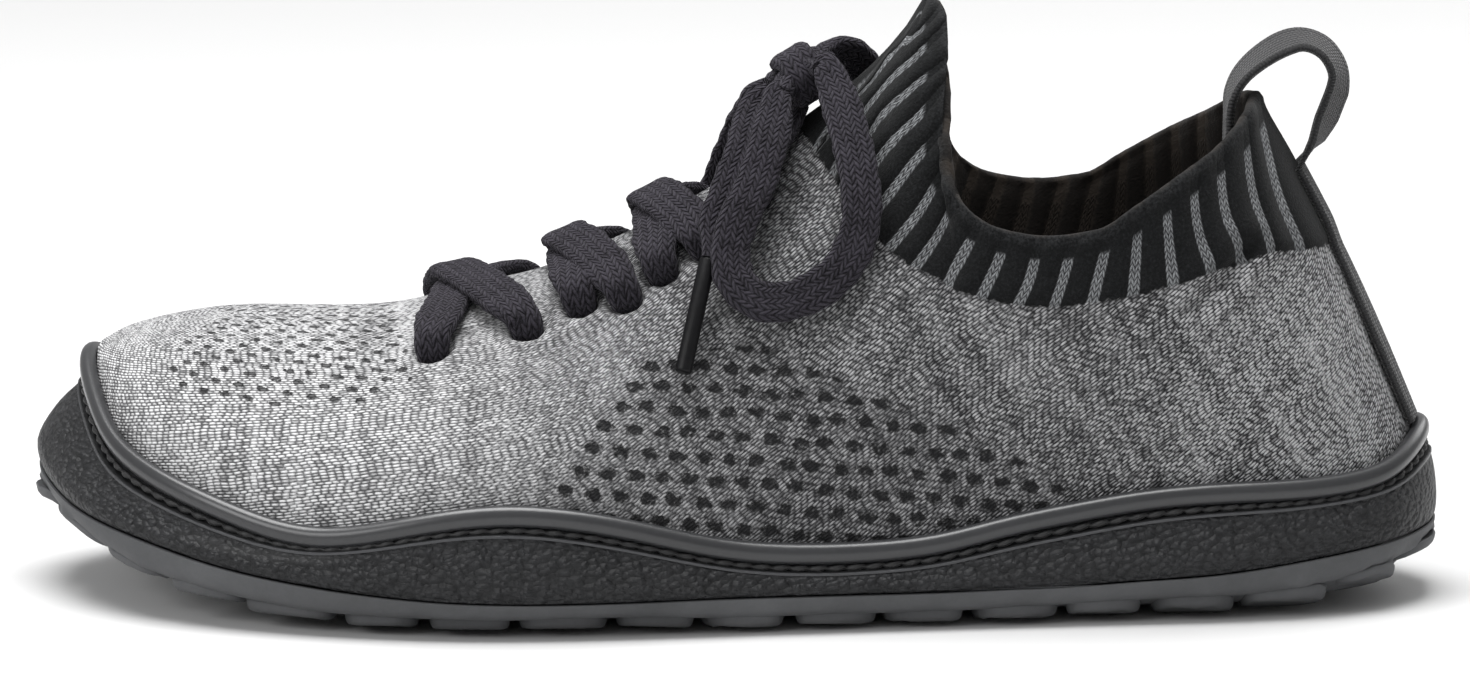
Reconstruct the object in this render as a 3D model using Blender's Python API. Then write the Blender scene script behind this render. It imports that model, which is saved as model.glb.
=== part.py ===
"""A left barefoot shoe: knitted sock upper, rubber sole with a beaded wall, heel tape and bowed lace.

Metres, +Z up. The toe points to -X, the outer side of the foot is -Y, and the floor is z = 0.
"""

import math

import bmesh
import bpy
import numpy as np
from mathutils import Vector

# Driving sizes
LENGTH = 0.272
BALL_WIDTH = 0.103
SIDE_HEIGHT = 0.025
TONGUE_HEIGHT = 0.115
SOLE_THICKNESS = 0.0055
LUG_DEPTH = 0.0018
KNIT_WALL = 0.0022
COLLAR_STEP = 0.0006
INSOLE_THICKNESS = 0.003
BEAD_HEIGHT = 0.0042
GROOVE_DEPTH = 0.0018
WALL_FOOT = 0.0034
FOOT_FOLLOWS = 0.65
TAPE_WIDTH = 0.0105
TAPE_THICKNESS = 0.0013
LACE_WIDTH = 0.0080
LACE_THICKNESS = 0.0034
CORD_RADIUS = 0.0019
EYELET_RADIUS = 0.0036
AGLET_RADIUS = 0.0016
AGLET_LENGTH = 0.023
GAP = 0.0003
KNIT_CLEAR = 0.0005

# How finely the lofts are cut
TOE_STEPS = 3
FRONT_STEPS = 13
BACK_STEPS = 17
TIP_CROWDING = 1.35
RISE_STEPS = 11
ACROSS_STEPS = 8
MERGE = 0.00001
MM = 0.001
RUN_PLACE = 3
STRAP_SIDES = 6
NORMAL_EASES = 3
TOE_THIN = 0.5
TOE_THIN_ROWS = 4

# One row for each section from the toe to the heel.
# x is a share of LENGTH, y of BALL_WIDTH, and the heights and the lean are shares of SIDE_HEIGHT.
SECTION_COLUMNS = (
    "x y_out y_in low_out low_in part_out part_in seam_out seam_in "
    "bead_out bead_in lean spring top full"
).split()
SECTIONS = (
    (0.000, 0.120, 0.120, 0.66, 0.66, 0.92, 0.92, 1.52, 1.52, 1.80, 1.80, 0.46, 0.66, 0.00, 2.5),
    (0.012, -0.030, 0.260, 0.58, 0.60, 0.83, 0.88, 1.34, 1.48, 1.62, 1.76, 0.42, 0.58, 0.03, 2.5),
    (0.040, -0.185, 0.365, 0.44, 0.46, 0.72, 0.76, 1.08, 1.28, 1.36, 1.56, 0.34, 0.43, 0.10, 2.45),
    (0.085, -0.310, 0.450, 0.28, 0.30, 0.61, 0.62, 0.90, 1.06, 1.15, 1.32, 0.26, 0.25, 0.17, 2.4),
    (0.140, -0.400, 0.482, 0.18, 0.18, 0.48, 0.48, 0.74, 0.92, 0.97, 1.18, 0.21, 0.12, 0.25, 2.3),
    (0.205, -0.465, 0.485, 0.10, 0.10, 0.38, 0.38, 0.64, 0.80, 0.83, 1.03, 0.18, 0.035, 0.34, 2.2),
    (0.275, -0.505, 0.475, 0.08, 0.06, 0.31, 0.31, 0.74, 0.72, 0.94, 0.95, 0.17, 0.0, 0.43, 2.1),
    (0.345, -0.515, 0.455, 0.07, 0.05, 0.28, 0.28, 0.81, 0.67, 1.03, 0.90, 0.17, 0.0, 0.52, 2.0),
    (0.420, -0.497, 0.415, 0.08, 0.07, 0.28, 0.29, 0.70, 0.66, 0.93, 0.89, 0.17, 0.0, 0.62, 1.9),
    (0.490, -0.468, 0.366, 0.05, 0.11, 0.29, 0.32, 0.53, 0.67, 0.75, 0.90, 0.17, 0.0, 0.74, 1.8),
    (0.550, -0.443, 0.330, 0.05, 0.13, 0.29, 0.33, 0.46, 0.69, 0.685, 0.92, 0.17, 0.0, 0.87, 1.7),
    (0.600, -0.424, 0.313, 0.05, 0.12, 0.29, 0.33, 0.465, 0.71, 0.69, 0.94, 0.17, 0.0, 1.00, 1.65),
    (0.645, -0.407, 0.306, 0.05, 0.10, 0.29, 0.32, 0.51, 0.735, 0.74, 0.965, 0.17, 0.0, 1.17, 1.7),
    (0.690, -0.391, 0.306, 0.06, 0.09, 0.30, 0.32, 0.61, 0.765, 0.85, 0.99, 0.17, 0.0, 1.34, 1.8),
    (0.735, -0.377, 0.310, 0.08, 0.09, 0.31, 0.32, 0.70, 0.79, 0.945, 1.015, 0.17, 0.0, 1.48, 1.9),
    (0.785, -0.363, 0.319, 0.10, 0.10, 0.34, 0.34, 0.79, 0.81, 1.03, 1.04, 0.17, 0.0, 1.60, 2.0),
    (0.835, -0.348, 0.324, 0.11, 0.11, 0.37, 0.37, 0.84, 0.84, 1.07, 1.065, 0.17, 0.0, 1.71, 2.0),
    (0.885, -0.322, 0.312, 0.13, 0.13, 0.43, 0.43, 0.86, 0.86, 1.075, 1.075, 0.17, 0.01, 1.81, 2.0),
    (0.930, -0.279, 0.275, 0.19, 0.19, 0.49, 0.49, 0.89, 0.89, 1.09, 1.09, 0.175, 0.05, 1.88, 2.0),
    (0.968, -0.208, 0.207, 0.27, 0.27, 0.54, 0.54, 0.95, 0.95, 1.16, 1.16, 0.18, 0.14, 1.93, 2.0),
    (0.992, -0.105, 0.105, 0.34, 0.34, 0.57, 0.57, 1.06, 1.06, 1.30, 1.30, 0.19, 0.28, 1.97, 2.0),
    (1.000, 0.000, 0.000, 0.36, 0.36, 0.58, 0.58, 1.10, 1.10, 1.36, 1.36, 0.19, 0.36, 2.00, 2.0),
)
TIP_ROW = 11

# The ridge from the toe bead to the tip of the collar front: x as a share of LENGTH, z of TONGUE_HEIGHT,
# y of BALL_WIDTH.
RIDGE_COLUMNS = ("at", "x", "y", "z")
RIDGE = (
    (0.00, 0.049, 0.118, 0.394),
    (0.06, 0.075, 0.110, 0.421),
    (0.13, 0.110, 0.100, 0.441),
    (0.22, 0.155, 0.080, 0.458),
    (0.32, 0.205, 0.050, 0.470),
    (0.42, 0.255, 0.025, 0.480),
    (0.50, 0.300, 0.010, 0.497),
    (0.58, 0.345, 0.000, 0.528),
    (0.66, 0.395, 0.000, 0.575),
    (0.74, 0.445, 0.000, 0.633),
    (0.82, 0.495, 0.000, 0.705),
    (0.89, 0.545, 0.000, 0.790),
    (0.95, 0.592, 0.000, 0.870),
    (0.98, 0.620, 0.000, 0.940),
    (1.00, 0.638, 0.000, 1.000),
)

# The collar rim from that tip back to the heel: half is the opening's half width as a share of BALL_WIDTH.
RIM_COLUMNS = ("at", "x", "half", "z")
RIM = (
    (1.00, 0.638, 0.000, 1.000),
    (1.05, 0.648, 0.060, 0.970),
    (1.12, 0.648, 0.130, 0.895),
    (1.20, 0.646, 0.190, 0.820),
    (1.28, 0.646, 0.240, 0.755),
    (1.36, 0.657, 0.275, 0.695),
    (1.44, 0.683, 0.293, 0.650),
    (1.53, 0.718, 0.300, 0.637),
    (1.61, 0.752, 0.298, 0.647),
    (1.69, 0.779, 0.287, 0.685),
    (1.78, 0.812, 0.255, 0.735),
    (1.86, 0.840, 0.195, 0.778),
    (1.93, 0.860, 0.105, 0.820),
    (2.00, 0.868, 0.000, 0.838),
)
RIM_INNER_RAISE = 0.013
ROLL_END = 0.6

# The sole's edge, as insets from the widest outline, and where its dish begins across the section
SOLE_EDGE_LOW = 0.0042
SOLE_EDGE_MIDDLE = 0.0012
SOLE_EDGE_HIGH = 0.0006
TOP_DISH = 0.5
FLOOR_DISH = 0.72
WALL_EDGE = 0.0008
BEAD_STAND = 0.0038
SKIRT_SHARE = 0.93
INSOLE_INSET = 0.0105
INSOLE_SHARE = 0.85
INSOLE_LIFT = 0.0006
INSOLE_FROM = 1.6
INSOLE_TO = 19.6
INSOLE_STEPS = 18

# The tread: blocks round the edge and three lines of round lugs inside them
EDGE_LUG_PITCH = 0.0168
EDGE_LUG_WIDTH = 0.0095
EDGE_LUG_SHARE = 0.91
INNER_LUG_SIZE = 0.0150
INNER_LUG_SHARES = (-0.45, 0.0, 0.45)
INNER_LUGS_FROM = 3.0
INNER_LUGS_TO = 18.0
INNER_LUG_ROWS = 11
LUG_SIDES = 6
LUG_CLEAR = 0.001
LUG_ROOT = 0.0008
LUG_CORNER = 1.04

# Eyelets up one side of the instep, as row and rise
EYELETS = (
    (6.32, 0.62),
    (7.42, 0.655),
    (8.02, 0.70),
    (8.43, 0.66),
    (8.82, 0.70),
    (9.25, 0.71),
    (9.75, 0.76),
)
EYELET_SIDES = 10

# Each lace crossing runs from one eyelet to the next on the other side: here as share, lift and width share
CROSSINGS = ((0, 1), (2, 3), (4, 5))
STRAP_RUN = (
    (0.000, -0.0026, 0.66),
    (0.000, 0.0014, 0.72),
    (0.040, 0.0034, 0.85),
    (0.140, 0.0036, 1.00),
    (0.320, 0.0028, 1.00),
    (0.500, 0.0025, 1.00),
    (0.680, 0.0028, 1.00),
    (0.860, 0.0036, 1.00),
    (0.960, 0.0034, 0.85),
    (1.000, 0.0014, 0.72),
    (1.000, -0.0026, 0.66),
)
STRAP_OVER = 0.0026
TIE_BACK = 0.38
TIE_LOWER = -0.0003
STRAP_STEPS = 14

# The knot: half sizes along, across and up, and its tilt with the instep
KNOT_PLACE = (0.0128, -0.0010, 0.1005)
KNOT_HALF = (0.0080, 0.0070, 0.0054)
KNOT_TILT = -30.0

# The free lace. A loop leaves and rejoins the knot at two turns round it, and an end leaves it at one: the
# turns are in degrees from the knot's heel end, and the routes between in millimetres.
NEAR_LOOP = (
    (7.6, -13.6, 94.4),
    (6.2, -18.6, 89.2),
    (3.9, -22.5, 82.5),
    (0.6, -26.0, 76.0),
    (-0.9, -28.2, 70.0),
    (0.6, -30.6, 64.6),
    (5.5, -32.2, 61.6),
    (12.6, -32.8, 62.6),
    (19.6, -32.2, 67.2),
    (23.4, -30.8, 74.4),
    (23.9, -28.4, 81.6),
    (22.6, -23.6, 89.0),
    (20.6, -17.6, 95.8),
    (18.8, -12.6, 100.4),
)
NEAR_LOOP_TURNS = (240, 300)
FAR_LOOP = (
    (8.6, 11.4, 95.2),
    (7.6, 14.8, 89.6),
    (5.4, 17.6, 82.8),
    (3.8, 19.6, 76.8),
    (4.0, 21.6, 71.8),
    (7.4, 23.4, 69.0),
    (12.6, 24.2, 68.6),
    (18.2, 24.4, 70.6),
    (23.0, 23.6, 76.0),
    (26.2, 21.4, 85.8),
    (26.6, 19.2, 94.0),
    (24.6, 15.8, 100.2),
    (21.2, 11.4, 103.2),
)
FAR_LOOP_TURNS = (120, 60)
NEAR_END = (
    (3.4, -9.6, 93.4),
    (1.8, -16.0, 88.4),
    (-1.0, -20.9, 81.4),
    (-3.6, -24.4, 75.0),
    (-5.1, -27.4, 69.1),
)
NEAR_END_TURN = 210
FAR_END = (
    (3.6, 7.6, 92.8),
    (0.9, 12.4, 86.8),
    (-1.7, 15.6, 79.8),
    (-4.0, 18.4, 73.6),
    (-5.35, 21.2, 67.75),
)
FAR_END_TURN = 150
CORD_LEAD = 0.0030
TOUCH = 0.0001
CORD_SPACING = 0.0046

# The pull loop from inside the collar, over and down to the heel: x, z and twist in degrees
LOOP_RUN = (
    (94.9, 87.0, 0),
    (95.0, 92.0, 0),
    (95.4, 96.4, 4),
    (97.4, 100.4, 8),
    (101.0, 103.8, 12),
    (105.4, 106.4, 14),
    (109.4, 107.2, 12),
    (113.4, 105.4, 14),
    (115.9, 101.2, 18),
    (115.6, 96.4, 26),
    (113.9, 92.0, 26),
    (112.0, 87.6, 16),
)
LOOP_STEPS = 20
TAPE_TOP = 0.78
TAPE_FOOT = 0.035
TAPE_STEPS = 10

# Colours
RUBBER = (0.018, 0.018, 0.020)
KNIT = (0.19, 0.19, 0.195)
LINING = (0.03, 0.03, 0.032)
WEBBING = (0.05, 0.05, 0.053)
LACE = (0.022, 0.020, 0.026)
PLASTIC = (0.01, 0.01, 0.011)

# The collar band starts at this row on the ridge; its lower border is a rise by row.
BAND_ROW = 10.6
BAND_LEVEL = 6
BAND_EDGE = 0.02
BAND = (
    (10.6, 0.56),
    (11.0, 0.45),
    (11.7, 0.475),
    (12.3, 0.56),
    (13.2, 0.69),
    (14.2, 0.745),
    (15.2, 0.735),
    (16.2, 0.70),
    (17.2, 0.68),
    (18.2, 0.65),
    (19.3, 0.61),
    (21.0, 0.59),
)
SIDE_BULGE = 0.0015


def ring_spline(values):
    """A smooth closed curve through the values, one knot a step: returns a function of the step."""
    y = np.array(values, float)
    n = len(y)
    grid = np.zeros((n, n))
    for i in range(n):
        grid[i, (i - 1) % n] = 1
        grid[i, i] = 4
        grid[i, (i + 1) % n] = 1
    bend = np.linalg.solve(grid, 6 * (np.roll(y, -1) - 2 * y + np.roll(y, 1)))

    def at(step):
        step = step % n
        i = int(step)
        j = (i + 1) % n
        b = step - i
        a = 1 - b
        return a * y[i] + b * y[j] + ((a**3 - a) * bend[i] + (b**3 - b) * bend[j]) / 6

    return at


def rising_spline(knots, values):
    """A smooth open curve that never overshoots its values."""
    x = np.array(knots, float)
    y = np.array(values, float)
    h = np.diff(x)
    d = np.diff(y) / h
    m = np.zeros(len(x))
    m[0] = d[0]
    m[-1] = d[-1]
    for i in range(1, len(x) - 1):
        if d[i - 1] * d[i] > 0:
            w1 = 2 * h[i] + h[i - 1]
            w2 = h[i] + 2 * h[i - 1]
            m[i] = (w1 + w2) / (w1 / d[i - 1] + w2 / d[i])

    def at(p):
        i = int(np.clip(np.searchsorted(x, p) - 1, 0, len(h) - 1))
        s = (p - x[i]) / h[i]
        return (
            y[i] * (1 + 2 * s) * (1 - s) ** 2
            + m[i] * h[i] * s * (1 - s) ** 2
            + y[i + 1] * s * s * (3 - 2 * s)
            + m[i + 1] * h[i] * s * s * (s - 1)
        )

    return at


def collection(name):
    made = bpy.data.collections.new(name)
    bpy.context.scene.collection.children.link(made)
    return made


for old in list(bpy.data.objects):
    bpy.data.objects.remove(old, do_unlink=True)
MODEL = collection("barefoot shoe")
CUTTERS = collection("cutters")


def column(rows, names, name):
    return [row[names.index(name)] for row in rows]


LAST = len(SECTIONS) - 1


def section_ring(outer, inner=None):
    """A section column as one ring: out along the outer side, back along the inner side."""
    there = column(SECTIONS, SECTION_COLUMNS, outer)
    back = column(SECTIONS, SECTION_COLUMNS, inner or outer)
    return ring_spline(there + back[-2:0:-1])


RING_X = section_ring("x")
RING_Y = section_ring("y_out", "y_in")
RING_LOW = section_ring("low_out", "low_in")
RING_PART = section_ring("part_out", "part_in")
RING_SEAM = section_ring("seam_out", "seam_in")
RING_BEAD = section_ring("bead_out", "bead_in")
RING_LEAN = section_ring("lean")
RING_FULL = section_ring("full")
TOP_AT = rising_spline(range(LAST + 1), column(SECTIONS, SECTION_COLUMNS, "top"))
SPRING_AT = rising_spline(range(LAST + 1), column(SECTIONS, SECTION_COLUMNS, "spring"))
RIDGE_AT = column(RIDGE, RIDGE_COLUMNS, "at")
RIDGE_X = rising_spline(RIDGE_AT, column(RIDGE, RIDGE_COLUMNS, "x"))
RIDGE_Y = rising_spline(RIDGE_AT, column(RIDGE, RIDGE_COLUMNS, "y"))
RIDGE_Z = rising_spline(RIDGE_AT, column(RIDGE, RIDGE_COLUMNS, "z"))
RIM_AT = column(RIM, RIM_COLUMNS, "at")
RIM_X = rising_spline(RIM_AT, column(RIM, RIM_COLUMNS, "x"))
RIM_HALF = rising_spline(RIM_AT, column(RIM, RIM_COLUMNS, "half"))
RIM_Z = rising_spline(RIM_AT, column(RIM, RIM_COLUMNS, "z"))
BAND_BORDER = rising_spline([row[0] for row in BAND], [row[1] for row in BAND])


def ring_step(row, side):
    """The ring's step for a place between the rows; side is -1 on the outer side and 1 on the inner."""
    return row if side < 0 else -row


def outline(step):
    """A point of the shoe's widest outline, seen from above."""
    return np.array(((RING_X(step) - 0.5) * LENGTH, RING_Y(step) * BALL_WIDTH))


def inward(step):
    """The level direction from the outline into the shoe."""
    nudge = 0.02
    along = outline(step + nudge) - outline(step - nudge)
    along /= np.linalg.norm(along)
    return np.array((-along[1], along[0]))


def wall_point(step, inset, height):
    flat = outline(step) + inward(step) * inset
    return np.array((flat[0], flat[1], height))


def top_point(row, side):
    """The upper's top edge: the ridge over the toes and instep, then the collar rim."""
    at = TOP_AT(row)
    if at <= 1:
        return np.array((
            (RIDGE_X(at) - 0.5) * LENGTH, RIDGE_Y(at) * BALL_WIDTH, RIDGE_Z(at) * TONGUE_HEIGHT
        ))
    raised = RIM_INNER_RAISE * math.sin(math.pi * (at - 1)) if side > 0 else 0
    return np.array((
        (RIM_X(at) - 0.5) * LENGTH,
        side * RIM_HALF(at) * BALL_WIDTH,
        (RIM_Z(at) + raised) * TONGUE_HEIGHT,
    ))


def upper_point(row, side, rise):
    """A point of the knit's outer face; rise goes from 0 at the bead to 1 at the top edge."""
    step = ring_step(row, side)
    at = TOP_AT(row)
    foot = wall_point(step, RING_LEAN(step) * SIDE_HEIGHT + KNIT_CLEAR, RING_BEAD(step) * SIDE_HEIGHT)
    top = top_point(row, side)
    full = RING_FULL(step)
    turn = rise * math.pi / 2
    rolled_in = 1 - math.cos(turn) ** (2 / full)
    rolled_up = math.sin(turn) ** (2 / full)
    roll = 1 if at <= 1 else max(0, 1 - (at - 1) / ROLL_END) ** 2
    level = roll * rolled_in + (1 - roll) * rise
    upright = roll * rolled_up + (1 - roll) * rise
    point = foot + (top - foot) * np.array((level, level, upright))
    out = inward(step) * -SIDE_BULGE * (1 - roll) * math.sin(math.pi * rise)
    return point + np.array((out[0], out[1], 0))


def level_samples():
    """The heights up each section at which the upper has a row of corners."""
    below = np.linspace(0, 1, BAND_LEVEL + 1) ** 0.9
    above = np.linspace(0, 1, RISE_STEPS - BAND_LEVEL)[1:]
    return below, above


def rises_at(row):
    """The rise of each level: one of them lies along the collar band's lower border."""
    border = BAND_BORDER(max(row, BAND_ROW))
    below, above = level_samples()
    return list(below * border) + [border + BAND_EDGE] + list(border + (1 - border) * above)


def section_rows():
    """The rows that every ring is cut at: the band's front edge and the collar's tip are among them."""
    toe = list(np.linspace(0, 1, TOE_STEPS, endpoint=False))
    front = list(np.linspace(1, BAND_ROW, FRONT_STEPS, endpoint=False))
    back = list(TIP_ROW + (LAST - TIP_ROW) * np.linspace(0, 1, BACK_STEPS) ** TIP_CROWDING)
    return toe + front + [BAND_ROW] + back


ROWS = section_rows()


def ring_stations():
    """Each place round the shoe as its row and side: the outer side first, then back along the inner side."""
    out = [(row, -1) for row in ROWS]
    back = [(row, 1) for row in ROWS[-2:0:-1]]
    return out + back


def body_from(name, corners, faces, colour, roughness, metallic=0.0):
    """A closed body in the model's collection, with its own material."""
    mesh = bpy.data.meshes.new(name)
    body = bmesh.new()
    made = [body.verts.new(tuple(corner)) for corner in corners]
    for face in faces:
        body.faces.new([made[i] for i in face])
    bmesh.ops.remove_doubles(body, verts=body.verts, dist=MERGE)
    bmesh.ops.dissolve_degenerate(body, edges=body.edges, dist=MERGE)
    bmesh.ops.recalc_face_normals(body, faces=body.faces)
    if body.calc_volume(signed=True) < 0:
        bmesh.ops.reverse_faces(body, faces=body.faces)
    body.to_mesh(mesh)
    body.free()
    return add_object(name, mesh, colour, roughness, metallic)


def add_object(name, mesh, colour, roughness, metallic=0.0):
    thing = bpy.data.objects.new(name, mesh)
    MODEL.objects.link(thing)
    finish(thing, colour, roughness, metallic)
    mesh.shade_smooth()
    mesh.set_sharp_from_angle(angle=math.radians(40))
    return thing


def finish(thing, colour, roughness, metallic=0.0):
    material = bpy.data.materials.new(thing.name)
    material.use_nodes = True
    shader = material.node_tree.nodes["Principled BSDF"]
    shader.inputs["Base Color"].default_value = (*colour, 1)
    shader.inputs["Roughness"].default_value = roughness
    shader.inputs["Metallic"].default_value = metallic
    thing.data.materials.clear()
    thing.data.materials.append(material)


def loft(name, loops, colour, roughness, ring=False):
    """A body through closed loops of corners; a ring also joins its last loop to its first."""
    count = len(loops[0])
    corners = [corner for loop in loops for corner in loop]
    faces = []
    for i in range(len(loops) if ring else len(loops) - 1):
        here = i * count
        there = (i + 1) % len(loops) * count
        for j in range(count):
            k = (j + 1) % count
            faces.append((here + j, here + k, there + k, there + j))
    if not ring:
        faces.append(tuple(range(count)))
        faces.append(tuple(range(len(corners) - count, len(corners)))[::-1])
    return body_from(name, corners, faces, colour, roughness)


def slab_top(row, side_share):
    """The height of the sole's inside: level in the middle and dished up to the parting line at its edges."""
    side = -1 if side_share < 0 else 1
    step = ring_step(row, side)
    middle = SPRING_AT(row) * SIDE_HEIGHT + SOLE_THICKNESS
    edge = RING_PART(step) * SIDE_HEIGHT
    return edge + (middle - edge) * (1 - dish(side_share, TOP_DISH)) * closing(row)


def slab_bottom(row, side_share):
    """The height of the sole's underside between the lugs."""
    side = -1 if side_share < 0 else 1
    step = ring_step(row, side)
    middle = SPRING_AT(row) * SIDE_HEIGHT
    edge = RING_LOW(step) * SIDE_HEIGHT
    return edge + (middle - edge) * (1 - dish(side_share, FLOOR_DISH)) * closing(row) + LUG_DEPTH


def closing(row):
    """1 along the sole, falling to 0 where a section closes to a point at the toe and the heel."""
    return min(1, row, LAST - row)


def dish(side_share, start):
    """0 in the middle of the sole, rising smoothly to 1 at its edge."""
    return max(0, (abs(side_share) - start) / (1 - start)) ** 2


def edge_point(row, side, inset, height):
    return wall_point(ring_step(row, side), inset, height)


def across(row, inset, side_share):
    """A point between the two edges of a section, from -1 on the outer side to 1 on the inner."""
    outer = edge_point(row, -1, inset, 0)
    inner = edge_point(row, 1, inset, 0)
    return outer + (inner - outer) * (side_share + 1) / 2


def sole_loop(row):
    """One closed section of the outsole: along its underside, up its rounded edge and back over its top."""
    shares = np.linspace(-1, 1, ACROSS_STEPS + 1)
    under = []
    over = []
    for share in shares:
        low = across(row, SOLE_EDGE_LOW, share)
        high = across(row, SOLE_EDGE_HIGH, share)
        under.append((low[0], low[1], slab_bottom(row, share)))
        over.append((high[0], high[1], slab_top(row, share)))
    rims = []
    for side in (1, -1):
        step = ring_step(row, side)
        low = RING_LOW(step) * SIDE_HEIGHT + LUG_DEPTH
        high = RING_PART(step) * SIDE_HEIGHT
        rims.append(edge_point(row, side, SOLE_EDGE_MIDDLE, low + (high - low) * 0.45))
    return under + [rims[0]] + over[::-1] + [rims[1]]


def make_outsole():
    slab = loft("outsole", [sole_loop(row) for row in ROWS], RUBBER, 0.6)
    lugs = bpy.data.objects.new("lugs", lug_mesh())
    CUTTERS.objects.link(lugs)
    hide(lugs)
    join = slab.modifiers.new("lugs", "BOOLEAN")
    join.operation = "UNION"
    join.solver = "EXACT"
    join.object = lugs
    return slab


def hide(thing):
    thing.hide_render = True
    thing.display_type = "WIRE"


def lug_places():
    """Each lug as its row, its share across the sole, and its half length and half width."""
    places = []
    for side in (-1, 1):
        length = edge_length(side)
        count = int(length / EDGE_LUG_PITCH)
        for i in range(count):
            row = row_along(side, (i + 0.5) / count)
            size = 0.415 + 0.035 * math.sin(i * 2.3 + side)
            places.append((row, side * EDGE_LUG_SHARE, EDGE_LUG_PITCH * size, EDGE_LUG_WIDTH / 2))
    room = (INNER_LUG_SIZE + max(EDGE_LUG_WIDTH, EDGE_LUG_PITCH)) / 2 + LUG_CLEAR
    taken = [(across(row, SOLE_EDGE_LOW, share)[:2], room) for row, share, _, _ in places]
    for row in np.linspace(INNER_LUGS_FROM, INNER_LUGS_TO, INNER_LUG_ROWS):
        for share in INNER_LUG_SHARES:
            here = across(row, SOLE_EDGE_LOW, share)[:2]
            if all(np.linalg.norm(here - there) > apart for there, apart in taken):
                places.append((row, share, INNER_LUG_SIZE / 2, INNER_LUG_SIZE / 2))
                taken.append((here, INNER_LUG_SIZE + LUG_CLEAR))
    return places


def edge_points(side):
    rows = np.linspace(0, LAST, 12 * LAST + 1)
    return rows, np.array([edge_point(row, side, SOLE_EDGE_LOW, 0)[:2] for row in rows])


def edge_length(side):
    points = edge_points(side)[1]
    return float(np.linalg.norm(np.diff(points, axis=0), axis=1).sum())


def row_along(side, share):
    """The row at a share of the sole edge's length."""
    rows, points = edge_points(side)
    along = np.concatenate([[0], np.cumsum(np.linalg.norm(np.diff(points, axis=0), axis=1))])
    return float(np.interp(share * along[-1], along, rows))


def sole_place(row, share):
    """A level point on the sole's underside with the direction of its edge there."""
    side = -1 if share < 0 else 1
    here = across(row, SOLE_EDGE_LOW, share)[:2]
    edge = 0.05 if abs(share) > 0.7 else 0.3
    before = across(max(row - edge, 0.01), SOLE_EDGE_LOW, share)[:2]
    after = across(min(row + edge, LAST - 0.01), SOLE_EDGE_LOW, share)[:2]
    along = (after - before) / np.linalg.norm(after - before)
    return here, along, np.array((-along[1], along[0])) * -side


def lug_mesh():
    """Every lug as a six-sided block that tapers downwards."""
    mesh = bpy.data.meshes.new("lugs")
    body = bmesh.new()
    for row, share, half_length, half_width in lug_places():
        here, along, aside = sole_place(row, share)
        bottom = slab_bottom(row, share) - LUG_DEPTH
        rings = []
        for height, size in ((LUG_DEPTH + LUG_ROOT, 1.0), (0, 0.88)):
            ring = []
            for i in range(LUG_SIDES):
                turn = 2 * math.pi * i / LUG_SIDES
                reach = (half_length * math.cos(turn), half_width * math.sin(turn))
                flat = here + (along * reach[0] + aside * reach[1]) * size * LUG_CORNER
                ring.append(body.verts.new((flat[0], flat[1], bottom + height)))
            rings.append(ring)
        body.faces.new(rings[0])
        body.faces.new(rings[-1][::-1])
        for upper, lower in zip(rings, rings[1:]):
            for i in range(LUG_SIDES):
                j = (i + 1) % LUG_SIDES
                body.faces.new((upper[i], lower[i], lower[j], upper[j]))
    bmesh.ops.recalc_face_normals(body, faces=body.faces)
    body.to_mesh(mesh)
    body.free()
    return mesh


def lean_out(step):
    """How far the wall's top leans in from the widest outline, under the bead."""
    return max(0, RING_LEAN(step) * SIDE_HEIGHT - BEAD_STAND)


def wall_loop(row, side):
    """The sidewall's section: parting edge, swell, stitch groove, bead and the face towards the knit."""
    step = ring_step(row, side)
    part = RING_PART(step) * SIDE_HEIGHT + GAP
    seam = RING_SEAM(step) * SIDE_HEIGHT
    bead = RING_BEAD(step) * SIDE_HEIGHT
    lean = RING_LEAN(step) * SIDE_HEIGHT
    leaning = lean_out(step)
    middle = bead - BEAD_HEIGHT / 2
    points = [
        (WALL_EDGE, part),
        (0, part + (seam - part) * 0.3),
        (leaning * 0.45, part + (seam - part) * 0.68),
        (leaning + 0.0003, seam),
        (leaning + GROOVE_DEPTH, seam + 0.0005),
        (leaning + GROOVE_DEPTH, bead - BEAD_HEIGHT),
        (leaning + 0.0006, middle - BEAD_HEIGHT * 0.22),
        (leaning + 0.0006, middle + BEAD_HEIGHT * 0.14),
        (leaning + 0.0016, bead - BEAD_HEIGHT * 0.08),
        (lean - 0.0006, bead),
        (lean, bead - BEAD_HEIGHT * 0.15),
        (foot_inset(step), part),
    ]
    return [wall_point(step, inset, height) for inset, height in points]


def foot_inset(step):
    """How far inside the outline the sidewall's inner face meets the sole."""
    return WALL_FOOT + lean_out(step) * FOOT_FOLLOWS


def make_sidewall():
    loops = [wall_loop(row, side) for row, side in ring_stations()]
    return loft("sidewall", loops, RUBBER, 0.45, ring=True)


def skirt_points(row, side):
    """The knit's outer face below the bead, between the sidewall and the sole."""
    step = ring_step(row, side)
    part = RING_PART(step) * SIDE_HEIGHT
    bead = RING_BEAD(step) * SIDE_HEIGHT
    lean = RING_LEAN(step) * SIDE_HEIGHT
    low = slab_top(row, side * SKIRT_SHARE) + 2 * GAP
    foot = foot_inset(step)
    points = []
    for share in (0.0, 0.5):
        height = low + (bead - low) * share
        through = (height - part) / (bead - part)
        points.append(wall_point(step, foot + (lean - foot) * max(0, through) + KNIT_CLEAR, height))
    return points


def upper_column(row, side):
    return skirt_points(row, side) + [upper_point(row, side, rise) for rise in rises_at(row)]


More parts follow.
